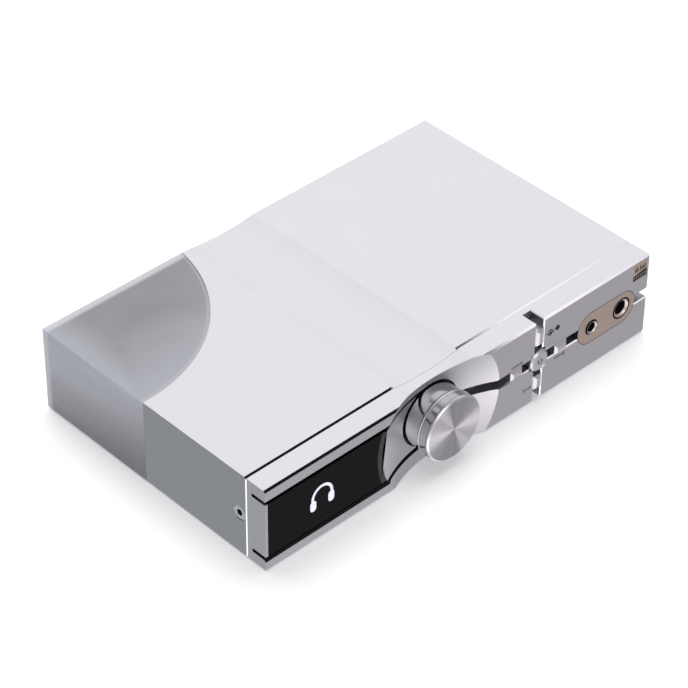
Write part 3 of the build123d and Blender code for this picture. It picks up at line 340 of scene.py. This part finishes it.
def glowing(name, colour, strength):
    """A lit part of the display."""
    finish = Finish(name, (0.0, 0.0, 0.0), 0.0, 0.4)
    pixels = finish.node("ShaderNodeTexChecker", {"Vector": finish.place, "Scale": 5000.0}, output=1)
    finish.set("Emission Color", (*colour, 1.0))
    finish.set("Emission Strength", finish.between(pixels, 0.0, 1.0, strength * 0.9, strength))
    return finish.material


def ink(name, colour):
    """Printed ink, slightly uneven."""
    finish = Finish(name, colour, 0.0, 0.55)
    pale = tuple(channel * 1.5 + 0.004 for channel in colour)
    finish.set("Base Color", finish.mix(finish.noise(0.3, 2.0), colour, pale))
    finish.set("Specular IOR Level", 0.2)
    finish.bump(finish.noise(0.1, 2.0), 0.2, 0.003)
    return finish.material


MATERIALS = {
    "satin_aluminium": metal("satin_aluminium", (0.80, 0.80, 0.82), 0.42, worn=0.12),
    "polished_aluminium": metal("polished_aluminium", (0.52, 0.52, 0.53), 0.17, 0.5, 0.001),
    "champagne_aluminium": metal("champagne_aluminium", (0.80, 0.66, 0.57), 0.40, worn=0.15),
    "smoked_acrylic": frosted_acrylic("smoked_acrylic"),
    "black_window": window_gloss("black_window"),
    "display_glass": window_gloss("display_glass"),
    "black_plastic": plastic("black_plastic", (0.008, 0.008, 0.009), 0.5, shine=0.2),
    "socket_grey_plastic": plastic("socket_grey_plastic", (0.08, 0.08, 0.085), 0.5),
    "plated_ring": metal("plated_ring", (0.84, 0.77, 0.70), 0.45, 0.3, 0.002),
    "steel": metal("steel", (0.70, 0.70, 0.72), 0.25, 0.4, 0.004, worn=0.15),
    "gold_plated": metal("gold_plated", (0.93, 0.72, 0.36), 0.18, 0.4, 0.002, worn=0.1),
    "gold_foil": foil("gold_foil"),
    "black_rubber": plastic("black_rubber", (0.02, 0.02, 0.02), 0.8, 0.6, 0.02),
    "circuit_board": circuit_board("circuit_board"),
    "polyimide": plastic("polyimide", (0.45, 0.22, 0.04), 0.35, 1.2),
    "chip_epoxy": plastic("chip_epoxy", (0.018, 0.018, 0.02), 0.55, 0.3),
    "capacitor_sleeve": capacitor_sleeve("capacitor_sleeve"),
    "relay_case": plastic("relay_case", (0.68, 0.66, 0.58), 0.4, 0.8),
    "ferrite": metal("ferrite", (0.12, 0.12, 0.125), 0.6, 0.5, 0.02),
    "lead_sheath": plastic("lead_sheath", (0.02, 0.02, 0.02), 0.6, 0.5),
}
SPUN = spun_metal("spun_aluminium", (0.86, 0.86, 0.875))
# painted shade: a darker copy of the polished aluminium for the knob's skirt and rim band, standing in for
# their darker reflections
KNOB_SIDE_SHADE = metal("knob_side_shade_aluminium", (0.44, 0.44, 0.45), 0.17, 0.5, 0.001)
DISH = metal("machined_aluminium", (0.84, 0.84, 0.86), 0.44, 0.4, 0.003)
# painted shade: a darker copy of the satin aluminium, which makes the sleeve's outside side faces darker than
# its top
SIDE_SHADE = metal("side_shade_aluminium", (0.63, 0.635, 0.65), 0.45, worn=0.12)
CHAMFER = metal("mirror_chamfer", (0.88, 0.88, 0.90), 0.05, 0.5, 0.0)
# painted shade: darker aluminium for the faces behind the fascia's front face
RECESS_SHADE = metal("recess_shade_aluminium", (0.42, 0.41, 0.43), 0.5)
# painted shade: near black aluminium for deep slots, wells and gaps
WELL_SHADE = metal("well_shade_aluminium", (0.10, 0.10, 0.105), 0.5)
SOFT_EDGE = metal("soft_edge_aluminium", (0.98, 0.98, 0.99), 0.36, 0.4, 0.003)
SCREW_RIM = metal("screw_rim", (0.93, 0.93, 0.94), 0.22, 0.4, 0.003)
# painted shade: dark grey aluminium for the walls of the upright groove and right of the socket plate, and
# for the knob's fine grooves
GROOVE_SHADE = metal("groove_shade_aluminium", (0.34, 0.34, 0.35), 0.45)
# painted shade: a dark matt sheet standing in for shaded aluminium beside the window's right end
WINDOW_END_SHADE = plastic("window_end_shade", (0.028, 0.028, 0.03), 0.4)
DARK_INK = ink("dark_ink", (0.012, 0.011, 0.012))
DISPLAY_LIGHT = glowing("display_light", (0.88, 0.85, 1.0), 1.1)


def finish_cad_nodes():
    """Gives every CAD node the material of its slot."""
    for entry in frame["record"]["subparts"]:
        node = frame["nodes"][entry["node"]]
        for place in node.material_slots:
            place.material = MATERIALS[entry["material_slot"]]


# ---------------------------------------------------------------- pieces

SLOT_OF = {entry["node"]: entry["material_slot"] for entry in frame["record"]["subparts"]}
BODY_OF = {node: body for body, members in frame["record"]["behaviour"]["bodies"].items() for node in members}


def add_piece(name, mesh, body, materials):
    """A new piece that rides on a body."""
    piece = bpy.data.objects.new(name, mesh)
    bpy.context.scene.collection.objects.link(piece)
    for material in materials:
        mesh.materials.append(material)
    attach(piece, body)
    return piece


def stand_for(piece, node):
    """The piece is shown in place of a CAD node."""
    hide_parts(node)
    return piece


def refined(node, edge_mm=0.0, least_angle=50, extra=(), choose=None, true_normal=None):
    """A copy of a CAD node's mesh with its sharp edges rounded, shown in place of the node.

    choose(face centre in case mm, face normal) gives the number of an extra material, or 0.
    true_normal(point in case mm, material number) gives the exact normal of a curved face, or None."""
    shape = bmesh.new()
    shape.from_mesh(frame["nodes"][node].data)
    bmesh.ops.remove_doubles(shape, verts=shape.verts, dist=2e-6)
    for face in shape.faces:
        face.smooth = True
        centre = (face.calc_center_median() - CASE_ORIGIN) / MM
        face.material_index = choose(centre, face.normal) if choose else 0
    bmesh.ops.dissolve_limit(
        shape, angle_limit=math.radians(0.6), verts=shape.verts, edges=shape.edges,
        use_dissolve_boundaries=False, delimit={"MATERIAL"},
    )
    mesh = bpy.data.meshes.new(node + "_rough")
    shape.to_mesh(mesh)
    shape.free()
    mark_sharp(mesh)
    rough = bpy.data.objects.new(node + "_rough", mesh)
    bpy.context.scene.collection.objects.link(rough)
    if edge_mm:
        bevel = rough.modifiers.new("rounded edges", "BEVEL")
        bevel.width = edge_mm * MM
        bevel.segments = 2
        bevel.limit_method = "ANGLE"
        bevel.angle_limit = math.radians(least_angle)
    weighted = rough.modifiers.new("flat faces stay flat", "WEIGHTED_NORMAL")
    weighted.keep_sharp = True
    graph = bpy.context.evaluated_depsgraph_get()
    finished = bpy.data.meshes.new_from_object(rough.evaluated_get(graph))
    bpy.data.objects.remove(rough)
    if true_normal:
        normals = [corner.vector.copy() for corner in finished.corner_normals]
        for face in finished.polygons:
            for corner in face.loop_indices:
                place = finished.vertices[finished.loops[corner].vertex_index].co
                exact = true_normal((place - CASE_ORIGIN) / MM, face.material_index)
                if exact is not None:
                    normals[corner] = exact
        finished.normals_split_custom_set(normals)
    finished.name = node + "_finished"
    slot = SLOT_OF[node]
    piece = add_piece(node + "_finished", finished, BODY_OF[node], [MATERIALS[slot], *extra])
    return stand_for(piece, node)


def mark_sharp(mesh, least_angle=20):
    """Marks the edges that stay crisp: the steep ones, and those where the finish changes."""
    mesh.set_sharp_from_angle(angle=math.radians(least_angle))
    finishes = {}
    for face in mesh.polygons:
        for key in face.edge_keys:
            finishes.setdefault(key, set()).add(face.material_index)
    for edge in mesh.edges:
        if len(finishes.get(edge.key, ())) > 1:
            edge.use_edge_sharp = True


def lathe(name, profile, centre, body, materials, steps=192):
    """A turned piece about a line along the depth.

    The profile runs from the front middle round the outside: (radius, y) or (radius, y, material),
    where the material is that of the stretch that ends there. Each stretch is a true cone or disc."""
    shape = bmesh.new()
    middle = at(centre[0], 0, centre[1])
    rings = []
    for radius, y, *_ in profile:
        count = 1 if radius == 0 else steps
        ring = []
        for step in range(count):
            angle = 2 * math.pi * step / steps
            place = (centre[0] + radius * math.cos(angle), y, centre[1] + radius * math.sin(angle))
            ring.append(shape.verts.new(at(*place)))
        rings.append(ring)
    slopes = []
    for first in range(len(rings) - 1):
        inner, outer = rings[first], rings[first + 1]
        run = profile[first + 1][0] - profile[first][0]
        rise = profile[first + 1][1] - profile[first][1]
        length = math.hypot(run, rise)
        for step in range(steps):
            following = (step + 1) % steps
            corners = [inner[step % len(inner)], outer[step % len(outer)]]
            if len(outer) > 1:
                corners.append(outer[following])
            if len(inner) > 1:
                corners.append(inner[following])
            face = shape.faces.new(corners)
            face.material_index = profile[first + 1][2] if len(profile[first + 1]) > 2 else 0
            face.smooth = True
            face.normal_update()
            away = (face.calc_center_median() - middle) * Vector((1, 0, 1))
            if face.normal.dot(away.normalized() * rise / length + Vector((0, -run / length, 0))) < 0:
                face.normal_flip()
            slopes.append((rise / length, -run / length))
    mesh = bpy.data.meshes.new(name)
    shape.to_mesh(mesh)
    shape.free()
    normals = []
    for face, (outward, along) in zip(mesh.polygons, slopes):
        for index in face.vertices:
            away = (mesh.vertices[index].co - middle) * Vector((1, 0, 1))
            if away.length < 1e-7:
                away = (face.center - middle) * Vector((1, 0, 1))
            normals.append(away.normalized() * outward + Vector((0, along, 0)))
    mesh.normals_split_custom_set(normals)
    return add_piece(name, mesh, body, materials)


def prism(name, outlines, y_front, y_back, body, material):
    """Flat shapes seen from the front, each a closed outline in case millimetres, with a thickness in y."""
    shape = bmesh.new()
    for outline in outlines:
        front = [shape.verts.new(at(x, y_front, z)) for x, z in outline]
        back = [shape.verts.new(at(x, y_back, z)) for x, z in outline]
        shape.faces.new(front)
        shape.faces.new(back[::-1])
        for i in range(len(front)):
            j = (i + 1) % len(front)
            shape.faces.new((front[j], front[i], back[i], back[j]))
    bmesh.ops.triangulate(shape, faces=[face for face in shape.faces if len(face.verts) > 4])
    bmesh.ops.recalc_face_normals(shape, faces=shape.faces)
    mesh = bpy.data.meshes.new(name)
    shape.to_mesh(mesh)
    shape.free()
    return add_piece(name, mesh, body, [material])


def stroke(points, width):
    """The outline of a line drawn with a pen of that width."""
    left, right = [], []
    for i, (x, z) in enumerate(points):
        x0, z0 = points[max(i - 1, 0)]
        x1, z1 = points[min(i + 1, len(points) - 1)]
        length = math.hypot(x1 - x0, z1 - z0)
        side_x, side_z = -(z1 - z0) / length * width / 2, (x1 - x0) / length * width / 2
        left.append((x + side_x, z + side_z))
        right.append((x - side_x, z - side_z))
    return left + right[::-1]


def arc(x, z, radius, start, end, steps=24):
    """Points along an arc, angles in degrees from +X towards +Z."""
    points = []
    for step in range(steps + 1):
        angle = math.radians(start + (end - start) * step / steps)
        points.append((x + radius * math.cos(angle), z + radius * math.sin(angle)))
    return points


def disc(x, z, radius, steps=32):
    return arc(x, z, radius, 0, 360 - 360 / steps, steps - 1)


# ---------------------------------------------------------------- the object


# Numbers of the fascia's and sleeve's materials, after their slot's own
SATIN, POLISHED, MACHINED, RECESS_SHADED, GROOVE_SHADED, VALLEY, FLANK_SHADED, SHADED = range(8)
DISH_CENTRE = Vector((KNOB.x, DISH_CENTRE_Y, KNOB.z))


def is_chamfer(normal):
    """Whether a face slopes at 45 degrees between two of the axes."""
    sizes = sorted(abs(value) for value in normal)
    return sizes[0] < 0.02 and abs(sizes[1] - sizes[2]) < 0.02


def off_plate(centre):
    """How far a place is outside the socket plate's outline."""
    low, high = case_box("jack_plate")
    radius = (high.z - low.z) / 2
    along = min(max(centre.x, low.x + radius), high.x - radius)
    return math.hypot(centre.x - along, centre.z - (low.z + high.z) / 2) - radius


def fascia_finish(centre, normal):
    """Which material a face of the fascia has."""
    toward = DISH_CENTRE - centre
    if abs(toward.length - DISH_SPHERE_RADIUS) < DISH_REACH and toward.normalized().dot(normal) > 0.98:
        return MACHINED
    from_power = math.hypot(centre.x - POWER.x, centre.z - POWER.z)
    power_rim = from_power < POWER_CHAMFER_RADIUS and 0.1 < centre.y < 1.1 and -0.8 < normal.y < -0.5
    if is_chamfer(normal) or power_rim:
        return POLISHED
    # Faces behind the front face are painted darker as shade: near black round the socket plate, near the
    # power button and the knob and left of the knob, dark grey on the upright groove's walls and right of the
    # plate, and a lighter grey elsewhere
    if 1 < centre.x < CASE_WIDTH - 1 and 0.3 < centre.z < CASE_HEIGHT - 1.8 and 0.1 < centre.y:
        upright_arm = abs(centre.x - POWER.x) < 3 and abs(normal.x) > 0.9
        beyond_plate = centre.x > PLATE_END - 3
        if off_plate(centre) < 0.5:
            return SHADED
        if upright_arm or beyond_plate:
            return GROOVE_SHADED
        near_power = from_power < POWER_SHADE_RADIUS
        near_knob = math.hypot(centre.x - KNOB.x, centre.z - KNOB.z) < KNOB_SHADE_RADIUS
        return SHADED if near_power or near_knob or centre.x < KNOB.x else RECESS_SHADED
    if 0.9 < normal.z < 0.9999:
        return VALLEY
    return SATIN


def sleeve_finish(centre, normal):
    """Which material a face of the sleeve has."""
    if is_chamfer(normal):
        return POLISHED
    if 0.9 < normal.z < 0.9999:
        return VALLEY
    # the outside side faces get the darker copy of the aluminium, painted shade
    outside = min(centre.x, CASE_WIDTH - centre.x) < 0.5
    return FLANK_SHADED if outside and abs(normal.x) > 0.9 else SATIN


def case_normal(place, finish):
    """The exact normal of the dish and of the valley, whose CAD faces are made of facets."""
    if finish == MACHINED:
        return (DISH_CENTRE - place).normalized()
    if finish == VALLEY:
        return Vector((VALLEY_X - place.x, 0, VALLEY_CENTRE_Z - place.z)).normalized()
    return None


def make_case():
    """The shells, the window, the socket plate with its sockets, and the screws seen from outside."""
    extra = [CHAMFER, DISH, RECESS_SHADE, GROOVE_SHADE, MATERIALS["satin_aluminium"], SIDE_SHADE, WELL_SHADE]
    refined("front_fascia", EDGE_ROUNDING, LEAST_ROUNDED_ANGLE, extra, fascia_finish, case_normal)
    refined("case_sleeve", EDGE_ROUNDING, LEAST_ROUNDED_ANGLE, extra, sleeve_finish, case_normal)
    refined("acrylic_corner", 0.5, LEAST_ROUNDED_ANGLE)
    refined("display_window", 0.1, LEAST_ROUNDED_ANGLE)
    # the socket plate's side faces are painted near black as the shade in the gap round it
    refined("jack_plate", extra=[WELL_SHADE], choose=lambda _, normal: int(abs(normal.y) < 0.5))

    # a screw's rim and face are bright, and its socket and the walls round it are painted black as shade
    shade_black = MATERIALS["black_plastic"]
    screw_finishes = [SCREW_RIM, shade_black]
    low, high = case_box("side_screws")
    screw = (low + high) / 2
    refined(
        "side_screws", 0.35, LEAST_ROUNDED_ANGLE, screw_finishes,
        lambda centre, _: 1 if math.hypot(centre.y - screw.y, centre.z - screw.z) > SCREW_SOCKET else 2,
    )
    refined(
        "rear_screws", extra=screw_finishes,
        choose=lambda centre, normal: 2 if abs(normal.y) < 0.3 or centre.y < CASE_DEPTH - 0.3 else 1,
    )
    refined(
        "base_screws", extra=screw_finishes,
        choose=lambda centre, normal: 2 if abs(normal.z) < 0.3 or centre.z > 0.3 else 1,
    )

    # behind the mouth of each headphone socket's ring, the ring's inner walls are painted black as the shade
    # inside the socket
    for name in ("jack_635", "jack_44"):
        refined(name + "_body")
        mouth = case_box(name + "_ring")[0].y + JACK_MOUTH_DEPTH
        refined(
            name + "_ring", extra=[shade_black],
            choose=lambda centre, normal, mouth=mouth: int(centre.y > mouth and abs(normal.y) < 0.3),
        )

    # a thin dark sheet of painted shade round the window's right end, beside the dish
    low, high = case_box("display_window")
    radius = DISH_RIM_RADIUS + 0.3
    width = 2.4
    top = math.degrees(math.asin((high.z - KNOB.z) / (radius + width)))
    bottom = math.degrees(math.asin((KNOB.z - low.z) / (radius + width)))
    edge = stroke(arc(KNOB.x, KNOB.z, radius + width / 2, 180 - top, 180 + bottom, 48), width)
    prism("window_end_shade", [edge], low.y - 0.01, low.y + 0.02, "amplifier", WINDOW_END_SHADE)


def make_knob():
    """The knob: a spun face, a rim with a polished chamfer, a neck and the skirt that runs in the well."""
    face = KNOB_FACE
    skirt_end = (knob_high.y - CASE_ORIGIN.y) / MM
    rim = KNOB_RADIUS
    profile = [
        (0, face, 1),
        (rim - 0.8, face, 1),
        (rim - 0.7, face + 0.05, 2),
        (rim - 0.35, face + 0.35, 2),
        (rim - 0.12, face + 0.65, 2),
        (rim, face + 1.0, 2),
        (rim - 0.12, face + 1.05, 3),
        (rim - 0.12, face + 1.25, 3),
        (rim, face + 1.3, 3),
        (rim, -2.45),
        (rim - 0.12, -2.4, 3),
        (rim - 0.12, -2.2, 3),
        (rim - 0.03, -2.15, 3),
        (rim, -1.9, 2),
        (rim - 0.06, -1.6, 2),
        (rim - 0.18, -1.3, 2),
        (rim - 0.4, -1.12, 2),
        (rim - 0.9, -1.1),
        (rim - 0.9, -0.7),
        (rim - 0.75, -0.66),
        (rim - 0.62, -0.55),
        (rim - 0.6, -0.4),
        (rim - 0.6, skirt_end - 0.3),
        (rim - 0.9, skirt_end),
        (11.5, skirt_end),
        (11.5, 0.5),
        (5.0, 0.5),
        (5.0, 2.4),
        (3.0, 2.4),
        (3.0, -3.9),
        (0, -3.9),
    ]
    # the skirt and rim band get the darkened polished aluminium and the fine grooves the dark grey aluminium,
    # both painted shade
    finishes = [KNOB_SIDE_SHADE, SPUN, SOFT_EDGE, GROOVE_SHADE]
    place = (KNOB.x, KNOB.z)
    knob = lathe("volume_knob_finished", profile, place, "knob", finishes, 256)
    stand_for(knob, "volume_knob")


def make_buttons():
    """The four caps with soft bright faces, and the turned power button."""
    for name in ("left", "right", "up", "down"):
        refined(f"{name}_button", extra=[SOFT_EDGE], choose=lambda _, normal: 1 - int(is_chamfer(normal)))
    low, high = case_box("power_button")
    centre = (POWER.x, POWER.z)
    radius = (high.x - low.x) / 2
    edge = 0.85
    shoulder = low.y + 8.4
    profile = [
        (0, low.y),
        (radius - edge - 0.05, low.y),
        (radius - edge + 0.03, low.y + 0.03, 1),
        (radius - 0.05, low.y + edge - 0.1, 1),
        (radius, low.y + edge + 0.05, 1),
        (radius, shoulder, 1),
        (1.5, shoulder, 1),
        (1.5, high.y, 1),
        (0, high.y, 1),
    ]
    materials = [SOFT_EDGE, DISH]
    button = lathe("power_button_finished", profile, centre, "power_key", materials, 96)
    stand_for(button, "power_button")


def make_marks():
    """Small generic pictograms in place of the printed words, and the power sign."""
    skin = 0.02
    line = 0.42
    marks = []
    # a line into an open ring, a slanted stroke and a disc, on the right block
    marks.append(stroke(arc(154.9, 31.2, 1.35, -145, 145), line * 0.85))
    marks.append(stroke([(152.7, 31.2), (155.0, 31.2)], line))
    marks.append(stroke([(156.7, 29.9), (157.4, 32.4)], line * 0.8))
    marks.append(disc(159.3, 31.4, 1.25))
    # rows of upright ticks beside three of the buttons: first tick, height of the row, and each tick's height
    rows = (
        ((133.2, 24.4), (0.7, 1.2, 0.8, 1.3, 0.9, 1.1, 1.7)),
        ((158.6, 15.6), (0.8, 1.3, 1.0, 1.2, 0.8, 1.6, 1.9)),
        ((141.0, 8.2), (1.5, 0.9, 1.1, 0.8, 1.6)),
    )
    pitch, lean, tick = 0.95, 0.12, 0.46
    for (x, z), heights in rows:
        for i, height in enumerate(heights):
            foot = x + pitch * i
            marks.append(stroke([(foot, z - height / 2), (foot + lean, z + height / 2)], tick))
    prism("front_marks", marks, -skin, 0.01, "amplifier", DARK_INK)

    low, high = case_box("power_button")
    x, z = (low.x + high.x) / 2, (low.z + high.z) / 2
    power_sign = [stroke(arc(x, z, 1.3, 125, 415), 0.26), stroke([(x, z + 0.4), (x, z + 1.7)], 0.26)]
    prism("power_sign", power_sign, low.y - skin, low.y + 0.01, "power_key", DARK_INK)


def make_display_sign():
    """A pair of headphones drawn by the display, seen through the window."""
    x, z = 29.3, 20.6
    front = -0.02
    reach = 5.0
    band = stroke(arc(x, z, reach, 5, 175, 36), 1.3)
    cups = []
    for side in (-1, 1):
        cup = [(x + side * (reach - 0.3) + dx, z + dz) for dx, dz in arc(0, -1.9, 1.55, 0, 180, 16)]
        cup += [(x + side * (reach - 0.3) + dx, z + dz) for dx, dz in arc(0, -4.1, 1.55, 180, 360, 16)]
        cups.append(cup)
        cups.append(stroke([(x + side * reach, z + 0.8), (x + side * reach, z - 2.0)], 1.3))
    prism("display_sign", [band, *cups], front, 0.04, "amplifier", DISPLAY_LIGHT)


def make_badge():
    """A dark band and level bars printed on the foil badge."""
    low, high = case_box("badge")
    width, height = high.x - low.x, high.z - low.z
    front = low.y
    crest = []
    for i in range(10):
        rise = 0.40 + 0.07 * math.cos(0.33 * i)
        crest.append((low.x + width * (1.0 - 0.111 * i), low.z + height * rise))
    band = [(low.x, low.z), (high.x, low.z), *crest]
    prism("badge_band", [band], front - 0.015, front + 0.05, "amplifier", DARK_INK)
    bars = []
    count = 7
    for i in range(count):
        x = low.x + width * (0.15 + 0.7 * i / (count - 1))
        top = low.z + height * (0.62 + 0.26 * abs(math.sin(1.3 * i + 0.6)))
        bars.append(stroke([(x, low.z + height * 0.54), (x, top)], 0.6))
    prism("badge_bars", bars, front - 0.015, front + 0.05, "amplifier", DARK_INK)
    light_bars = []
    for i in range(6):
        x = low.x + width * (0.12 + 0.76 * i / 5)
        light_bars.append(stroke([(x, low.z + height * 0.1), (x, low.z + height * 0.3)], 0.35))
    gold = MATERIALS["gold_foil"]
    prism("badge_light_bars", light_bars, front - 0.03, front + 0.05, "amplifier", gold)


# ---------------------------------------------------------------- studio


def make_camera():
    """The camera, above the front left corner and far off."""
    camera = bpy.data.objects.new("camera", bpy.data.cameras.new("camera"))
    bpy.context.scene.collection.objects.link(camera)
    camera.data.lens = CAMERA_LENS
    camera.data.sensor_width = 36.0
    angles = (CAMERA_AZIMUTH, CAMERA_ELEVATION, CAMERA_ROLL)
    azimuth, elevation, roll = (math.radians(value) for value in angles)
    back = Vector((
        math.sin(azimuth) * math.cos(elevation), -math.cos(azimuth) * math.cos(elevation), math.sin(elevation)
    ))
    level = Vector((math.cos(azimuth), math.sin(azimuth), 0))
    upward = back.cross(level)
    right = math.cos(roll) * level + math.sin(roll) * upward
    up = -math.sin(roll) * level + math.cos(roll) * upward
    place = at(*AIM) - CAMERA_LEFT * right - CAMERA_DOWN * up + CAMERA_BACK * back
    axes = Matrix((right, up, back)).transposed().to_4x4()
    camera.matrix_world = Matrix.Translation(place) @ axes
    camera.data.clip_start, camera.data.clip_end = 0.05, 20
    bpy.context.scene.camera = camera


def make_floor():
    """A sheet of white paper a hair under the feet."""
    shape = bmesh.new()
    half = FLOOR_HALF_WIDTH
    for x, y in ((-half, -half), (half, -half), (half, half), (-half, half)):
        shape.verts.new((x, y, FLOOR_Z))
    shape.faces.new(shape.verts)
    mesh = bpy.data.meshes.new("floor")
    shape.to_mesh(mesh)
    shape.free()
    floor = bpy.data.objects.new("floor", mesh)
    bpy.context.scene.collection.objects.link(floor)
    finish = Finish("floor_paper", (0.93, 0.93, 0.93), 0.0, 0.9)
    finish.set("Base Color", finish.mix(finish.noise(300.0, 2.0), (0.92, 0.92, 0.92), (0.95, 0.95, 0.95)))
    finish.set("Specular IOR Level", 0.0)
    finish.set("Emission Color", (1.0, 1.0, 1.0, 1.0))
    finish.set("Emission Strength", 0.2)
    mesh.materials.append(finish.material)
    floor.visible_glossy = False


def make_light(name, place, aim, size, power, spread=180.0):
    """A square soft light that points at a place."""
    light = bpy.data.lights.new(name, "AREA")
    light.energy = power
    light.size = size
    light.spread = math.radians(spread)
    lamp = bpy.data.objects.new(name, light)
    bpy.context.scene.collection.objects.link(lamp)
    lamp.location = place
    lamp.rotation_mode = "QUATERNION"
    lamp.rotation_quaternion = (Vector(aim) - Vector(place)).to_track_quat("-Z", "Y")
    lamp.visible_glossy = False


def make_surroundings():
    """A soft grey studio all round, with a few bright cards and one dark card at the front right."""
    world = bpy.data.worlds.new("studio")
    bpy.context.scene.world = world
    studio = Graph(world)
    direction = studio.node("ShaderNodeTexCoord", output="Generated")
    light = STUDIO_LIGHT
    # each card: the direction to its middle, how much it adds, and its inner and outer half width in degrees
    cards = (
        ((0.54, 0.56, 0.63), 0.79, 28, 46),
        ((-0.51, -0.57, -0.64), 1.10, 14, 32),
        ((-0.47, 0.58, -0.66), 0.13, 18, 38),
        ((0.76, 0.09, -0.64), 0.50, 9, 22),
        ((0.10, 0.97, -0.20), 0.90, 15, 32),
        ((-0.08, -0.93, -0.34), 0.50, 10, 24),
        ((0.20, 0.05, -0.98), 0.90, 8, 20),
        ((0.54, -0.53, -0.65), 0.05, 14, 34),
        ((0.07, -0.76, -0.64), 0.45, 12, 28),
        ((-0.10, -0.85, 0.50), 1.90, 11, 22),
        ((0.66, -0.59, 0.46), 0.25, 12, 20),
        ((0.533, -0.682, 0.50), 0.55, 4.5, 9),
        ((-0.70, 0.54, 0.46), 0.50, 5, 14),
        ((-0.25, 0.52, 0.81), -0.18, 12, 28),
        ((-0.30, 0.56, 0.77), 0.90, 4, 10),
        ((0.85, 0.52, -0.10), -0.20, 15, 35),
    )
    for towards, brightness, full, none in cards:
        alike = studio.vector("DOT_PRODUCT", direction, Vector(towards).normalized(), 1)
        ends = (math.cos(math.radians(none)), math.cos(math.radians(full)))
        light = studio.maths("ADD", light, studio.between(alike, *ends, 0.0, brightness))
    # a black card in front on the right: crisp along its right side, soft on its other sides
    height = studio.part(direction, "Z")
    forward = studio.maths("MULTIPLY", studio.part(direction, "Y"), -1.0)
    round_about = studio.maths("ARCTAN2", studio.part(direction, "X"), forward)
    card = studio.between(round_about, math.radians(42.9), math.radians(41.6))
    card = studio.maths("MULTIPLY", card, studio.between(round_about, math.radians(20), math.radians(30)))
    card = studio.maths("MULTIPLY", card, studio.between(height, 0.30, 0.42))
    card = studio.maths("MULTIPLY", card, studio.between(height, 0.80, 0.70))
    passed = studio.maths("SUBTRACT", 1.0, studio.maths("MULTIPLY", card, 0.99))
    light = studio.maths("MULTIPLY", light, passed)
    # cool light from the left, faintly rosy light from the right
    rightward = studio.between(studio.part(direction, "X"), -0.3, 0.3)
    tint = studio.mix(rightward, (0.965, 1.0, 1.035), (1.0, 0.985, 1.015))
    tint = studio.mix(studio.between(studio.part(direction, "Y"), -0.2, -0.5), tint, (1.0, 0.955, 1.01))
    background = studio.node("ShaderNodeBackground", {"Color": tint, "Strength": light})
    studio.node("ShaderNodeOutputWorld", {"Surface": background}, None)


def make_lights():
    """A large soft light overhead and a smaller one in front."""
    middle = at(CASE_WIDTH / 2, CASE_DEPTH / 2, CASE_HEIGHT / 2)
    make_light("overhead_softbox", middle + Vector((0.1, 0.2, 1.4)), middle, 1.4, 14.0)
    make_light("front_softbox", middle + Vector((-0.3, -1.5, 0.5)), middle, 0.7, 3.0)


finish_cad_nodes()
make_case()
make_knob()
make_buttons()
make_marks()
make_display_sign()
make_badge()
make_camera()
make_floor()
make_surroundings()
make_lights()
bpy.context.scene.view_settings.view_transform = "Standard"
